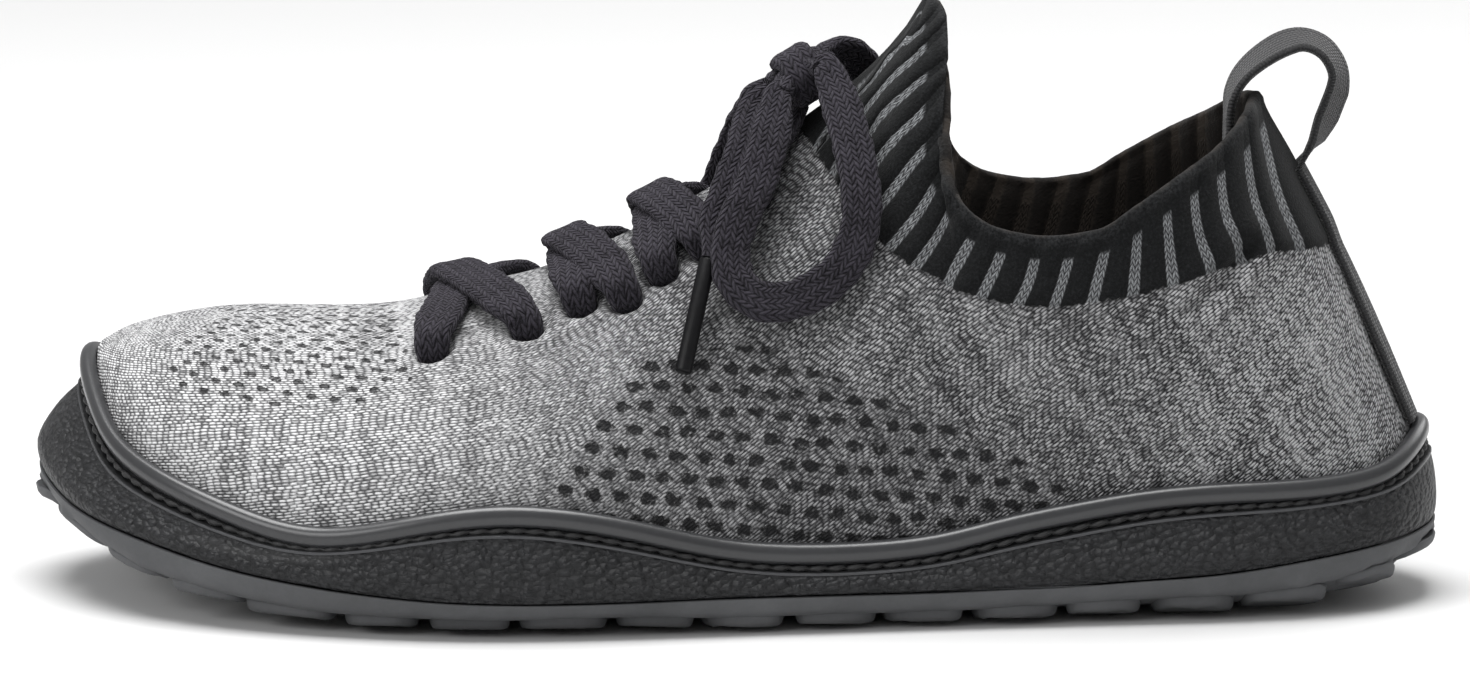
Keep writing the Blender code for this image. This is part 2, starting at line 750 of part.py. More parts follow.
def make_upper():
    """The knit as one wall: an outer face that steps out at the collar band, and an inner face one wall inside."""
    stations = ring_stations()
    columns = [upper_column(row, side) for row, side in stations]
    count = len(columns[0])
    band = count - (RISE_STEPS - BAND_LEVEL)
    centre = len(ROWS) - 1
    tip = ROWS.index(TIP_ROW)
    band_from = ROWS.index(BAND_ROW)
    total = len(stations)

    def partner(i):
        return (total - i) % total

    def number(i, j):
        i = i % total
        if j == count - 1 and min(i, partner(i)) <= tip:
            i = min(i, partner(i))
        return i * count + j

    faces = []
    for i in range(total):
        for j in range(count - 1):
            corners = [number(i, j), number(i + 1, j), number(i + 1, j + 1), number(i, j + 1)]
            faces.append(tuple(dict.fromkeys(corners)))
    outer = np.array([corner for column_ in columns for corner in column_])
    inward_at = corner_normals(outer, faces)
    walls = np.array([knit_wall(row) for row, _ in stations for _ in range(count)])
    inner = outer - inward_at * walls[:, None]
    for i in range(total):
        place = min(i, partner(i))
        for j in range(band, count):
            if place >= band_from:
                outer[i * count + j] += inward_at[i * count + j] * COLLAR_STEP
    size = len(outer)
    whole = list(faces) + [tuple(index + size for index in face[::-1]) for face in faces]
    for i in range(total):
        foot = (number(i, 0), number(i + 1, 0))
        whole.append((foot[1], foot[0], foot[0] + size, foot[1] + size))
        if tip <= min(i, partner(i)) <= centre and tip <= min(i + 1, partner(i + 1)) <= centre:
            rim = (number(i, count - 1), number(i + 1, count - 1))
            whole.append((rim[0], rim[1], rim[1] + size, rim[0] + size))
    used = sorted({index for face in whole for index in face})
    place = {index: n for n, index in enumerate(used)}
    corners = np.concatenate([outer, inner])[used]
    whole = [tuple(place[index] for index in face) for face in whole]
    knit = body_from("upper", corners, whole, KNIT, 0.9)
    for i, (row, side, rise) in enumerate(eyelet_places()):
        cutter = eyelet_cutter(row, side, rise)
        cut = knit.modifiers.new(f"eyelet {i + 1}", "BOOLEAN")
        cut.operation = "DIFFERENCE"
        cut.solver = "EXACT"
        cut.object = cutter
    return knit


def knit_wall(row):
    """The knit's thickness: it thins towards the low toe, where its two sides meet."""
    return KNIT_WALL * (TOE_THIN + (1 - TOE_THIN) * min(1, row / TOE_THIN_ROWS))


def corner_normals(corners, faces):
    """The mean outward direction at each corner, eased with its neighbours'."""
    normals = np.zeros_like(corners)
    for face in faces:
        points = corners[list(face)]
        if len(face) > 3:
            spread = np.cross(points[2] - points[0], points[3] - points[1])
        else:
            spread = np.cross(points[1] - points[0], points[2] - points[0])
        for index in face:
            normals[index] += spread
    normals = to_length_one(normals)
    for _ in range(NORMAL_EASES):
        eased = normals.copy()
        for face in faces:
            for index in face:
                eased[index] += normals[list(face)].sum(axis=0) * 0.25
        normals = to_length_one(eased)
    return normals


def to_length_one(vectors):
    long = np.linalg.norm(vectors, axis=1)
    long[long == 0] = 1
    return vectors / long[:, None]


def surface_frame(row, side, rise):
    """A point of the knit with its outward normal and its direction towards the heel."""
    nudge = 0.02
    here = upper_point(row, side, rise)
    along = upper_point(row + nudge, side, rise) - upper_point(row - nudge, side, rise)
    up = upper_point(row, side, min(rise + nudge, 1)) - upper_point(row, side, rise - nudge)
    out = np.cross(along, up) * -side
    return here, out / np.linalg.norm(out), along / np.linalg.norm(along)


def eyelet_places():
    return [(row, side, rise) for side in (-1, 1) for row, rise in EYELETS]


def eyelet_cutter(row, side, rise):
    """A short round rod through the wall."""
    here, out, _ = surface_frame(row, side, rise)
    mesh = bpy.data.meshes.new("eyelet cutter")
    body = bmesh.new()
    bmesh.ops.create_cone(
        body,
        cap_ends=True,
        segments=EYELET_SIDES,
        radius1=EYELET_RADIUS,
        radius2=EYELET_RADIUS,
        depth=KNIT_WALL * 4,
    )
    body.to_mesh(mesh)
    body.free()
    rod = bpy.data.objects.new("eyelet cutter", mesh)
    CUTTERS.objects.link(rod)
    rod.location = tuple(here - out * KNIT_WALL / 2)
    rod.rotation_euler = Vector(tuple(out)).to_track_quat("Z", "Y").to_euler()
    hide(rod)
    return rod


def make_insole():
    loops = []
    for row in np.linspace(INSOLE_FROM, INSOLE_TO, INSOLE_STEPS):
        shares = np.linspace(-1, 1, 5)
        under = []
        over = []
        for share in shares:
            flat = across(row, INSOLE_INSET, share)
            low = slab_top(row, share * INSOLE_SHARE) + INSOLE_LIFT
            under.append((flat[0], flat[1], low))
            over.append((flat[0], flat[1], low + INSOLE_THICKNESS))
        loops.append(under + over[::-1])
    return loft("insole", loops, LINING, 0.95)


def smooth_run(points, steps):
    """Even places along one smooth curve through the points, which may have any number of columns."""
    table = np.array(points, float)
    jumps = np.linalg.norm(np.diff(table[:, :RUN_PLACE], axis=0), axis=1)
    knots = np.concatenate([[0], np.cumsum(np.maximum(jumps, MERGE))])
    ghost = np.vstack([2 * table[0] - table[1], table, 2 * table[-1] - table[-2]])
    made = []
    for at in np.linspace(0, knots[-1], steps):
        i = int(np.clip(np.searchsorted(knots, at, side="right") - 1, 0, len(knots) - 2))
        s = (at - knots[i]) / (knots[i + 1] - knots[i])
        a, b, c, d = ghost[i : i + 4]
        slope = c - a
        bow = 2 * a - 5 * b + 4 * c - d
        swing = 3 * b - a - 3 * c + d
        made.append(b + 0.5 * (slope * s + bow * s**2 + swing * s**3))
    return np.array(made)


def oval_loop(centre, wide, thick):
    """A flat lace's section: wide and thick are its half axes as vectors."""
    turns = [2 * math.pi * (i + 0.5) / STRAP_SIDES for i in range(STRAP_SIDES)]
    return [centre + wide * math.cos(turn) + thick * math.sin(turn) for turn in turns]


def strap_loops(start, end, over, back):
    """A lace strap from the eyelet start on the outer side to the eyelet end on the inner one."""
    (row_a, rise_a), (row_b, rise_b) = start, end
    places = []
    for share, lift, width in STRAP_RUN:
        row = row_a + (row_b - row_a) * share + back * math.sin(math.pi * share)
        sway = (rise_a - 1) + (2 - rise_a - rise_b) * share
        side = -1 if sway < 0 else 1
        here, out, _ = surface_frame(row, side, 1 - abs(sway))
        lift += over * math.sin(math.pi * share) ** 2
        places.append((*(here + out * lift), width, *out))
    run = smooth_run(places, STRAP_STEPS)
    loops = []
    for i, place in enumerate(run):
        centre = place[:3]
        ahead = run[min(i + 1, len(run) - 1)][:3] - run[max(i - 1, 0)][:3]
        ahead /= np.linalg.norm(ahead)
        out = place[4:7]
        if abs(ahead @ out) > 0.8 * np.linalg.norm(out):
            wide = np.cross(ahead, np.array((0.0, 1.0, 0.0)))
        else:
            wide = np.cross(ahead, out)
        wide /= np.linalg.norm(wide)
        if wide[0] < 0:
            wide = -wide
        thick = np.cross(ahead, wide)
        loops.append(oval_loop(centre, wide * LACE_WIDTH / 2 * place[3], thick * LACE_THICKNESS / 2))
    return loops


def make_crossing(name, first, second):
    """Two straps that cross on the ridge, joined there."""
    over = loft(name, strap_loops(EYELETS[first], EYELETS[second], 0, 0), LACE, 0.95)
    under = loft("under strap", strap_loops(EYELETS[second], EYELETS[first], STRAP_OVER, 0), LACE, 0.95)
    MODEL.objects.unlink(under)
    CUTTERS.objects.link(under)
    hide(under)
    join = over.modifiers.new("crossing", "BOOLEAN")
    join.operation = "UNION"
    join.solver = "EXACT"
    join.object = under


def make_tie():
    """The last strap, from one top eyelet to the other under the knot."""
    loft("lace_tie", strap_loops(EYELETS[-1], EYELETS[-1], TIE_LOWER, TIE_BACK), LACE, 0.95)


def knot_out(turn):
    """A place on the knot's middle, by its turn from the heel end, and the direction out of it."""
    way = np.array((math.cos(math.radians(turn)), math.sin(math.radians(turn)), 0))
    half = np.array(KNOT_HALF)
    tilt = math.radians(KNOT_TILT)
    slope = np.array(((math.cos(tilt), 0, math.sin(tilt)), (0, 1, 0), (-math.sin(tilt), 0, math.cos(tilt))))
    out = slope @ (way / half)
    out /= np.linalg.norm(out)
    return np.array(KNOT_PLACE) + slope @ (way * half) + out * TOUCH, out


def make_knot():
    mesh = bpy.data.meshes.new("lace_knot")
    body = bmesh.new()
    bmesh.ops.create_uvsphere(body, u_segments=12, v_segments=8, radius=1)
    body.to_mesh(mesh)
    body.free()
    knot = add_object("lace_knot", mesh, LACE, 0.95)
    knot.location = KNOT_PLACE
    knot.rotation_euler = (0, math.radians(KNOT_TILT), 0)
    knot.scale = KNOT_HALF


def make_cord(name, route, turns):
    """A round tube from the knot along a route and, with two turns, back to it: a curve with filled caps."""
    places = [np.array(place) * MM for place in route]
    roots = [knot_out(turn) for turn in turns]
    places.insert(0, roots[0][0] + roots[0][1] * CORD_LEAD)
    if len(roots) > 1:
        places.append(roots[1][0] + roots[1][1] * CORD_LEAD)
    long = np.linalg.norm(np.diff(places, axis=0), axis=1).sum()
    run = [roots[0][0], *smooth_run(places, max(6, int(long / CORD_SPACING)))]
    if len(roots) > 1:
        run.append(roots[1][0])
    curve = bpy.data.curves.new(name, "CURVE")
    curve.dimensions = "3D"
    curve.bevel_depth = CORD_RADIUS
    curve.bevel_resolution = 2
    curve.use_fill_caps = True
    spline = curve.splines.new("POLY")
    spline.points.add(len(run) - 1)
    for point, place in zip(spline.points, run):
        point.co = (*place, 1)
    cord = bpy.data.objects.new(name, curve)
    MODEL.objects.link(cord)
    finish(cord, LACE, 0.95)
    return run


def make_end(name, aglet_name, route, turn):
    """A free end of the lace, with the hard tip crimped round it."""
    run = make_cord(name, route, (turn,))
    along = Vector(run[-1] - run[-2]).normalized()
    mesh = bpy.data.meshes.new(aglet_name)
    body = bmesh.new()
    bmesh.ops.create_cone(
        body, cap_ends=True, segments=10, radius1=AGLET_RADIUS, radius2=AGLET_RADIUS, depth=AGLET_LENGTH
    )
    body.to_mesh(mesh)
    body.free()
    aglet = add_object(aglet_name, mesh, PLASTIC, 0.35)
    aglet.location = Vector(run[-1]) + along * (AGLET_LENGTH / 2 + TOUCH)
    aglet.rotation_euler = along.to_track_quat("Z", "Y").to_euler()


def heel_across(rise, share, lift):
    """A point of the heel's back a share of the tape's half width from its middle."""
    want = share * TAPE_WIDTH / 2
    side = -1 if want < 0 else 1
    rows = np.linspace(LAST, LAST - 3, 40)
    wides = [abs(upper_point(row, side, rise)[1]) for row in rows]
    row = float(np.interp(abs(want), wides, rows))
    here, out, _ = surface_frame(min(row, LAST - 0.01), side, rise)
    return here + out * lift


def make_heel_tape():
    """Webbing up the back of the heel whose free end is the pull loop."""
    loops = []
    shares = (-1, -0.5, 0, 0.5, 1)
    near = GAP + COLLAR_STEP
    for rise in np.linspace(TAPE_FOOT, TAPE_TOP, TAPE_STEPS):
        back = [heel_across(rise, share, near + TAPE_THICKNESS) for share in shares]
        front = [heel_across(rise, share, near) for share in shares]
        loops.append(back + front[::-1])
    run = smooth_run([(x * MM, z * MM, twist) for x, z, twist in LOOP_RUN[::-1]], LOOP_STEPS)
    for i, (x, z, twist) in enumerate(run):
        ahead = run[min(i + 1, len(run) - 1)][:2] - run[max(i - 1, 0)][:2]
        ahead /= np.linalg.norm(ahead)
        turn = math.radians(twist)
        level = np.array((0.0, 1.0, 0.0))
        out = np.array((ahead[1], 0.0, -ahead[0]))
        wide = level * math.cos(turn) + out * math.sin(turn)
        thick = out * math.cos(turn) - level * math.sin(turn)
        centre = np.array((x, 0.0, z))
        back = [centre + wide * share * TAPE_WIDTH / 2 + thick * TAPE_THICKNESS / 2 for share in shares]
        front = [corner - thick * TAPE_THICKNESS for corner in back]
        loops.append(back + front[::-1])
    loft("heel_tape", loops, WEBBING, 0.9)


make_outsole()
make_sidewall()
make_upper()
make_insole()
make_heel_tape()
for number, (first, second) in enumerate(CROSSINGS):
    make_crossing(f"lace_crossing_{number + 1}", first, second)
make_tie()
make_knot()
make_cord("lace_loop_near", NEAR_LOOP, NEAR_LOOP_TURNS)
make_cord("lace_loop_far", FAR_LOOP, FAR_LOOP_TURNS)
make_end("lace_end_near", "aglet_near", NEAR_END, NEAR_END_TURN)
make_end("lace_end_far", "aglet_far", FAR_END, FAR_END_TURN)
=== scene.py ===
# %% [markdown]
# # A knitted barefoot shoe, dressed from its imported solids
# The imported model is loaded first and stays as it is: it is the frame that every piece is built on. The shoe stands
# on z = 0 with its toe towards -X and its outer side towards -Y.

# %% Load the frame
import math

import bpy
import numpy as np
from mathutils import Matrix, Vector


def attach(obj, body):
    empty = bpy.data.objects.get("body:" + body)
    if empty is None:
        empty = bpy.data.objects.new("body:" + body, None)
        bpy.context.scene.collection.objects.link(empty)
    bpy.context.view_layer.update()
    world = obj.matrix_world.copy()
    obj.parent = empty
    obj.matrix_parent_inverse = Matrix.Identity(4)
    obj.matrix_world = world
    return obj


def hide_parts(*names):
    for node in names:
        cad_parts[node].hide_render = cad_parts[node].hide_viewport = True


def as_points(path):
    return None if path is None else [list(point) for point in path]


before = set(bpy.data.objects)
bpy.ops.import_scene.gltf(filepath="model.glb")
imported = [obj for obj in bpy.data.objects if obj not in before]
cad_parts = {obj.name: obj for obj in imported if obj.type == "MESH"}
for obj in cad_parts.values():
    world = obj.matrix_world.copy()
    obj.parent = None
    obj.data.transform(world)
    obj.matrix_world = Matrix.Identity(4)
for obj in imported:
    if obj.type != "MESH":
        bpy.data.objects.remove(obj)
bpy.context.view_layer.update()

# %% [markdown]
# ## The camera
# A shoe in a catalogue is photographed from its outer side with a long lens, slightly from above. The distance and
# the tilt were found by matching the sole's outline, and the lens from the scale of the picture.

# %% The camera
CAMERA_TILT = 10.0
CAMERA_AWAY = 1.6
CAMERA_LENS = 202.6
AIM = Vector((0, 0, 0.0475))


def make_camera():
    tilt = math.radians(CAMERA_TILT)
    back = Vector((0, -math.cos(tilt), math.sin(tilt)))
    bpy.ops.object.camera_add(location=AIM + back * CAMERA_AWAY, rotation=(math.pi / 2 - tilt, 0, 0))
    camera = bpy.context.object
    camera.data.lens = CAMERA_LENS
    camera.data.sensor_width = 36
    camera.data.dof.use_dof = False
    bpy.context.scene.camera = camera
    return camera


camera = make_camera()
print("camera at", [round(v, 3) for v in camera.location])

# %% [markdown]
# ## Shader maths as Python
# A material here is written as arithmetic. `Shade` holds one socket, and its operators add the Math nodes for it.
# `Finish` starts a material and adds any other node by its type, its settings and what its sockets take.

# %% A socket that can be added and multiplied
class Shade:
    def __init__(self, finish, socket):
        self.finish = finish
        self.socket = socket

    def math(self, operation, *others):
        return self.finish.math(operation, self, *others)

    def __add__(self, other):
        return self.math("ADD", other)

    def __mul__(self, other):
        return self.math("MULTIPLY", other)

    def __sub__(self, other):
        return self.math("SUBTRACT", other)

    def __rsub__(self, other):
        return self.finish.math("SUBTRACT", other, self)

    def __truediv__(self, other):
        return self.math("DIVIDE", other)

    __radd__ = __add__
    __rmul__ = __mul__

    def away(self):
        """How far it is from 0, either way."""
        return self.math("ABSOLUTE")

    def share(self):
        """What is left behind the point, from -0.5 to 0.5."""
        return self.math("FRACT") - 0.5

    def smooth(self, low, high):
        """0 below low, 1 above high, eased between."""
        limits = {"Value": self, "From Min": low, "From Max": high}
        return self.finish.value("Result", "ShaderNodeMapRange", limits, interpolation_type="SMOOTHSTEP")


class Finish:
    def __init__(self, name, **sockets):
        self.material = bpy.data.materials.new(name)
        self.material.use_nodes = True
        self.tree = self.material.node_tree
        self.shader = self.tree.nodes["Principled BSDF"]
        for socket, value in sockets.items():
            self.feed(socket.replace("_", " "), value)

    def add(self, kind, inputs=None, **settings):
        node = self.tree.nodes.new(kind)
        for setting, value in settings.items():
            setattr(node, setting, value)
        for socket, value in (inputs or {}).items():
            self.put(node.inputs[socket], value)
        return node

    def put(self, slot, value):
        if isinstance(value, (Shade, bpy.types.NodeSocket)):
            self.tree.links.new(getattr(value, "socket", value), slot)
        elif slot.type == "RGBA" and len(value) == 3:
            slot.default_value = (*value, 1)
        else:
            slot.default_value = value

    def feed(self, socket, value):
        """Sets or links a socket of the material's own shader."""
        self.put(self.shader.inputs[socket], value)

    def value(self, output, kind, inputs=None, **settings):
        return Shade(self, self.add(kind, inputs, **settings).outputs[output])

    def math(self, operation, *values):
        return self.value(0, "ShaderNodeMath", dict(enumerate(values)), operation=operation)

    def attribute(self, name):
        return self.value("Fac", "ShaderNodeAttribute", attribute_name=name)

    def place(self):
        """Object coordinates."""
        return self.add("ShaderNodeTexCoord").outputs["Object"]

    def cloth(self):
        """The piece's own flat measure in metres: along it, and up or around it."""
        return self.parts(self.add("ShaderNodeUVMap", uv_map="cloth").outputs["UV"])[:2]

    def parts(self, vector):
        node = self.add("ShaderNodeSeparateXYZ", {"Vector": vector})
        return [Shade(self, out) for out in node.outputs]

    def point(self, x, y):
        return self.add("ShaderNodeCombineXYZ", {"X": x, "Y": y}).outputs[0]

    def noise(self, vector, scale, detail=2.0, roughness=0.5):
        inputs = {"Vector": vector, "Scale": scale, "Detail": detail, "Roughness": roughness}
        return self.value("Fac", "ShaderNodeTexNoise", inputs)

    def cells(self, vector, scale, feature):
        return self.value("Distance", "ShaderNodeTexVoronoi", {"Vector": vector, "Scale": scale}, feature=feature)

    def chance(self, x, y):
        """One random number for each whole x and y."""
        return self.value("Value", "ShaderNodeTexWhiteNoise", {"Vector": self.point(x, y)}, noise_dimensions="2D")

    def blend(self, factor, first, second):
        """A colour between two colours."""
        node = self.add("ShaderNodeMix", {0: factor}, data_type="RGBA")
        for slot, value in zip([s for s in node.inputs if s.type == "RGBA"], (first, second)):
            self.put(slot, value)
        return [s for s in node.outputs if s.type == "RGBA"][0]

    def bump(self, height, distance, strength=1.0):
        relief = self.add("ShaderNodeBump", {"Height": height, "Distance": distance, "Strength": strength})
        self.feed("Normal", relief.outputs["Normal"])


print("shader helpers ready")

# %% [markdown]
# ## Growing a surface from a grid
# A lofted skin is modelled from one flat grid: the grid is added with Blender's own operator, and each of its corners
# is then moved to its place on the form. The grid's own UV map is set to metres, so a knit has one scale all over.

# %% A grid laid on a form
def read(data, name, kind, wide=1):
    """One array out of a mesh."""
    values = np.empty(len(data) * wide, kind)
    data.foreach_get(name, values)
    return values


def grown(name, points, measure=None):
    """points[i][j] are the corners' places, and measure[i][j] their flat place in metres."""
    points = np.asarray(points, float)
    across, along = points.shape[:2]
    bpy.ops.mesh.primitive_grid_add(x_subdivisions=along - 1, y_subdivisions=across - 1, size=1)
    piece = bpy.context.object
    piece.name = piece.data.name = name
    mesh = piece.data
    flat = read(mesh.vertices, "co", float, 3).reshape(-1, 3)
    j = np.rint((flat[:, 0] + 0.5) * (along - 1)).astype(int)
    i = np.rint((flat[:, 1] + 0.5) * (across - 1)).astype(int)
    mesh.vertices.foreach_set("co", points[i, j].ravel())
    if measure is not None:
        corners = read(mesh.loops, "vertex_index", int)
        mesh.uv_layers.active.data.foreach_set("uv", np.asarray(measure, float)[i, j][corners].ravel())
    mesh.uv_layers.active.name = "cloth"
    mesh.update()
    return piece, i, j


def only(piece):
    """Selects one piece."""
    bpy.ops.object.select_all(action="DESELECT")
    bpy.context.view_layer.objects.active = piece
    piece.select_set(True)


def edit(piece, corners="SELECT"):
    only(piece)
    bpy.ops.object.mode_set(mode="EDIT")
    bpy.ops.mesh.select_all(action=corners)


def smooth(piece, angle=180):
    only(piece)
    if angle >= 180:
        bpy.ops.object.shade_smooth()
    else:
        bpy.ops.object.shade_smooth_by_angle(angle=math.radians(angle))


def close_up(piece, distance=0.00002, angle=180):
    """Merges doubled corners, fills what is open and turns every face outwards."""
    edit(piece)
    bpy.ops.mesh.remove_doubles(threshold=distance)
    bpy.ops.mesh.fill_holes(sides=0)
    bpy.ops.mesh.normals_make_consistent(inside=False)
    bpy.ops.object.mode_set(mode="OBJECT")
    smooth(piece, angle)


def join_as(name, parts):
    """Makes one piece of several."""
    only(parts[0])
    for part in parts:
        part.select_set(True)
    bpy.ops.object.join()
    parts[0].name = parts[0].data.name = name
    return parts[0]


def wear(piece, finish, body="root"):
    piece.data.materials.clear()
    piece.data.materials.append(finish.material)
    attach(piece, body)


def mark(piece, name, values):
    """Keeps one number a corner on the mesh, for the material to read."""
    layer = piece.data.attributes.new(name, "FLOAT", "POINT")
    layer.data.foreach_set("value", np.asarray(values, np.float32))


# %% Small sums
def eased(value, low, high):
    share = np.clip((np.asarray(value, float) - low) / (high - low), 0, 1)
    return share * share * (3 - 2 * share)


def rounded(value, power):
    """A sine or cosine drawn out towards a box's corner."""
    return math.copysign(abs(value) ** power, value)


def unit(way):
    return way / np.linalg.norm(way)


def units(ways):
    """Each of many directions at length 1."""
    return ways / np.maximum(np.linalg.norm(ways, axis=-1, keepdims=True), 1e-12)


def steps_of(run):
    return np.linalg.norm(np.diff(run, axis=0), axis=1)


def run_length(run):
    return float(steps_of(run).sum())


def far_along(run):
    """How far each place of a run is from its start."""
    return np.concatenate([[0], steps_of(run).cumsum()])


def ahead_at(run, i, reach=1):
    """The direction of a run at its place i."""
    return unit(run[min(i + reach, len(run) - 1)] - run[max(i - reach, 0)])


print("grid helper ready")

# %% [markdown]
# ## The free lace
# The lace is one flat cotton braid, 8 mm wide. Two loops and two ends leave the bow's knot and hang down the sides
# of the instep. They were laid out as smooth curves through a few points, in millimetres, and their solids were made
# from the same points. They come first here, because everything else has to leave room for them.

# %% The lace's routes
MM = 0.001
LEVEL = np.array((0.0, 1.0, 0.0))
LACE_WIDTH = 0.0080
LACE_THICKNESS = 0.0034
KNOT_PLACE = (0.0128, -0.0010, 0.1005)
KNOT_HALF = (0.0080, 0.0070, 0.0054)
KNOT_TILT = -30.0
CORD_LEAD = 0.0030
TOUCH = 0.0001
AGLET_LENGTH = 0.023
NEAR_LOOP = (
    (7.6, -13.6, 94.4), (6.2, -18.6, 89.2), (3.9, -22.5, 82.5), (0.6, -26.0, 76.0), (-0.9, -28.2, 70.0),
    (0.6, -30.6, 64.6), (5.5, -32.2, 61.6), (12.6, -32.8, 62.6), (19.6, -32.2, 67.2), (23.4, -30.8, 74.4),
    (23.9, -28.4, 81.6), (22.6, -23.6, 89.0), (20.6, -17.6, 95.8), (18.8, -12.6, 100.4),
)
FAR_LOOP = (
    (8.6, 11.4, 95.2), (7.6, 14.8, 89.6), (5.4, 17.6, 82.8), (3.8, 19.6, 76.8), (4.0, 21.6, 71.8),
    (7.4, 23.4, 69.0), (12.6, 24.2, 68.6), (18.2, 24.4, 70.6), (23.0, 23.6, 76.0), (26.2, 21.4, 85.8),
    (26.6, 19.2, 94.0), (24.6, 15.8, 100.2), (21.2, 11.4, 103.2),
)
NEAR_END = ((3.4, -9.6, 93.4), (1.8, -16.0, 88.4), (-1.0, -20.9, 81.4), (-3.6, -24.4, 75.0), (-5.1, -27.4, 69.1))
FAR_END = ((3.6, 7.6, 92.8), (0.9, 12.4, 86.8), (-1.7, 15.6, 79.8), (-4.0, 18.4, 73.6), (-5.35, 21.2, 67.75))


def smooth_run(points, steps):
    """Even places along one smooth curve through the points, which may have any number of columns."""
    table = np.array(points, float)
    knots = np.concatenate([[0], np.cumsum(np.maximum(steps_of(table[:, :3]), 0.00001))])
    ghost = np.vstack([2 * table[0] - table[1], table, 2 * table[-1] - table[-2]])
    made = []
    for at in np.linspace(0, knots[-1], steps):
        i = int(np.clip(np.searchsorted(knots, at, side="right") - 1, 0, len(knots) - 2))
        s = (at - knots[i]) / (knots[i + 1] - knots[i])
        a, b, c, d = ghost[i : i + 4]
        made.append(b + 0.5 * ((c - a) * s + (2 * a - 5 * b + 4 * c - d) * s**2 + (3 * b - a - 3 * c + d) * s**3))
    return np.array(made)


def knot_out(turn):
    """A place on the knot's middle, by its turn from the heel end, and the direction out of it."""
    way = np.array((math.cos(math.radians(turn)), math.sin(math.radians(turn)), 0))
    half = np.array(KNOT_HALF)
    tilt = math.radians(KNOT_TILT)
    slope = np.array(((math.cos(tilt), 0, math.sin(tilt)), (0, 1, 0), (-math.sin(tilt), 0, math.cos(tilt))))
    out = unit(slope @ (way / half))
    return np.array(KNOT_PLACE) + slope @ (way * half) + out * TOUCH, out


def cord_run(route, turns, step=0.0009):
    """Even places along a free stretch, rooted on the knot at one end or at both."""
    places = [np.array(place) * MM for place in route]
    roots = [knot_out(turn) for turn in turns]
    places = [roots[0][0], roots[0][0] + roots[0][1] * CORD_LEAD, *places]
    if len(roots) > 1:
        places += [roots[1][0] + roots[1][1] * CORD_LEAD, roots[1][0]]
    return smooth_run(places, int(run_length(places) / step))


# %% [markdown]
# Each stretch is written in one line: its route, the turns at which it leaves the knot, the way its flat side faces,
# how it is drawn in at each end and over what length, and its width and thickness against the lace's own.

# %% The four stretches
NEAR_FACE = (0.0, -1.0, 0.28)
FAR_FACE = (0.0, 1.0, 0.28)
STRETCHES = {
    "near_loop": (NEAR_LOOP, (240, 300), NEAR_FACE, (0.62, 0.66, 0.012), 0.96, 1),
    "far_loop": (FAR_LOOP, (120, 60), FAR_FACE, (0.62, 0.66, 0.012), 0.90, 1),
    "near_end": (NEAR_END, (210,), NEAR_FACE, (0.7, 0.36, 0.008), 0.92, 0.95),
    "far_end": (FAR_END, (150,), FAR_FACE, (0.7, 0.36, 0.008), 0.92, 0.95),
}
runs = {name: cord_run(route, turns) for name, (route, turns, *_) in STRETCHES.items()}
for name, run in runs.items():
    print(name, round(run_length(run) * 1000, 1), "mm")

# %% [markdown]
# ## A flat braid along a route
# A hand would draw the braid's section once and sweep it. Here the section is written as a soft oval with a shallow
# trough along its middle, and it is swept so that its flat side keeps facing one way, as a loop of lace does when
# it lies on the shoe.

# %% Sweep a braid
SECTION_POINTS = 22
EDGE_ROUND = 0.7
FACE_ROUND = 0.56
TROUGH_DEPTH = 0.30
TROUGH_WIDTH = 0.24


def braid_section(wide, thick):
    """Half sizes to points round a flat lace: rounded edges and a shallow trough along each face."""
    points = []
    for k in range(SECTION_POINTS + 1):
        turn = 2 * math.pi * k / SECTION_POINTS
        level = rounded(math.cos(turn), EDGE_ROUND)
        trough = 1 - TROUGH_DEPTH * math.exp(-((level / TROUGH_WIDTH) ** 2))
        points.append((level * wide, rounded(math.sin(turn), FACE_ROUND) * trough * thick))
    return points


def braid_frame(run, facing):
    """At each place of a run: where the lace's width and thickness point."""
    frames = []
    for i in range(len(run)):
        ahead = ahead_at(run, i, 2)
        wide = unit(np.cross(ahead, facing[i] if np.ndim(facing) == 2 else facing))
        frames.append((wide, np.cross(wide, ahead)))
    return frames


def sweep_braid(name, run, facing, widths, thicks):
    """A closed lace: widths and thicks are one number a place."""
    points, measure = [], []
    for i, (far, (wide, thick)) in enumerate(zip(far_along(run), braid_frame(run, facing))):
        puff = 1 + 0.035 * math.sin(far * 1500 + 1.3) + 0.025 * math.sin(far * 640)
        ring = braid_section(widths[i] / 2 * puff, thicks[i] / 2 * (2 - puff))
        points.append([run[i] + wide * a + thick * b for a, b in ring])
        measure.append([(far, around) for around in far_along(ring)])
    piece, _, _ = grown(name, points, measure)
    close_up(piece, angle=75)
    return piece


def pinched(run, start, end, lead):
    """The lace's width along a run: its full width, drawn in near each end."""
    far = far_along(run)
    after_start = start + (1 - start) * eased(far, 0, lead)
    before_end = end + (1 - end) * eased(far[-1] - far, 0, lead)
    return LACE_WIDTH * np.minimum(after_start, before_end)


def thickness_for(widths):
    """A lace that is drawn in gets thicker."""
    return LACE_THICKNESS * (0.86 + 0.42 * (1 - widths / LACE_WIDTH))


laces = {}
for name, (_, _, facing, drawn_in, wide, thick) in STRETCHES.items():
    widths = pinched(runs[name], *drawn_in) * wide
    laces[name] = sweep_braid(name, runs[name], facing, widths, thickness_for(widths) * thick)
print("near loop:", len(laces["near_loop"].data.polygons), "faces")

# %% [markdown]
# ## Lace yarn
# Cotton lace has no shine, only a soft bloom at its edges. The braid is drawn as V-shaped stitches along its length:
# each stitch gets its own height and its own shade of charcoal, and a fine noise stands for the fluff.

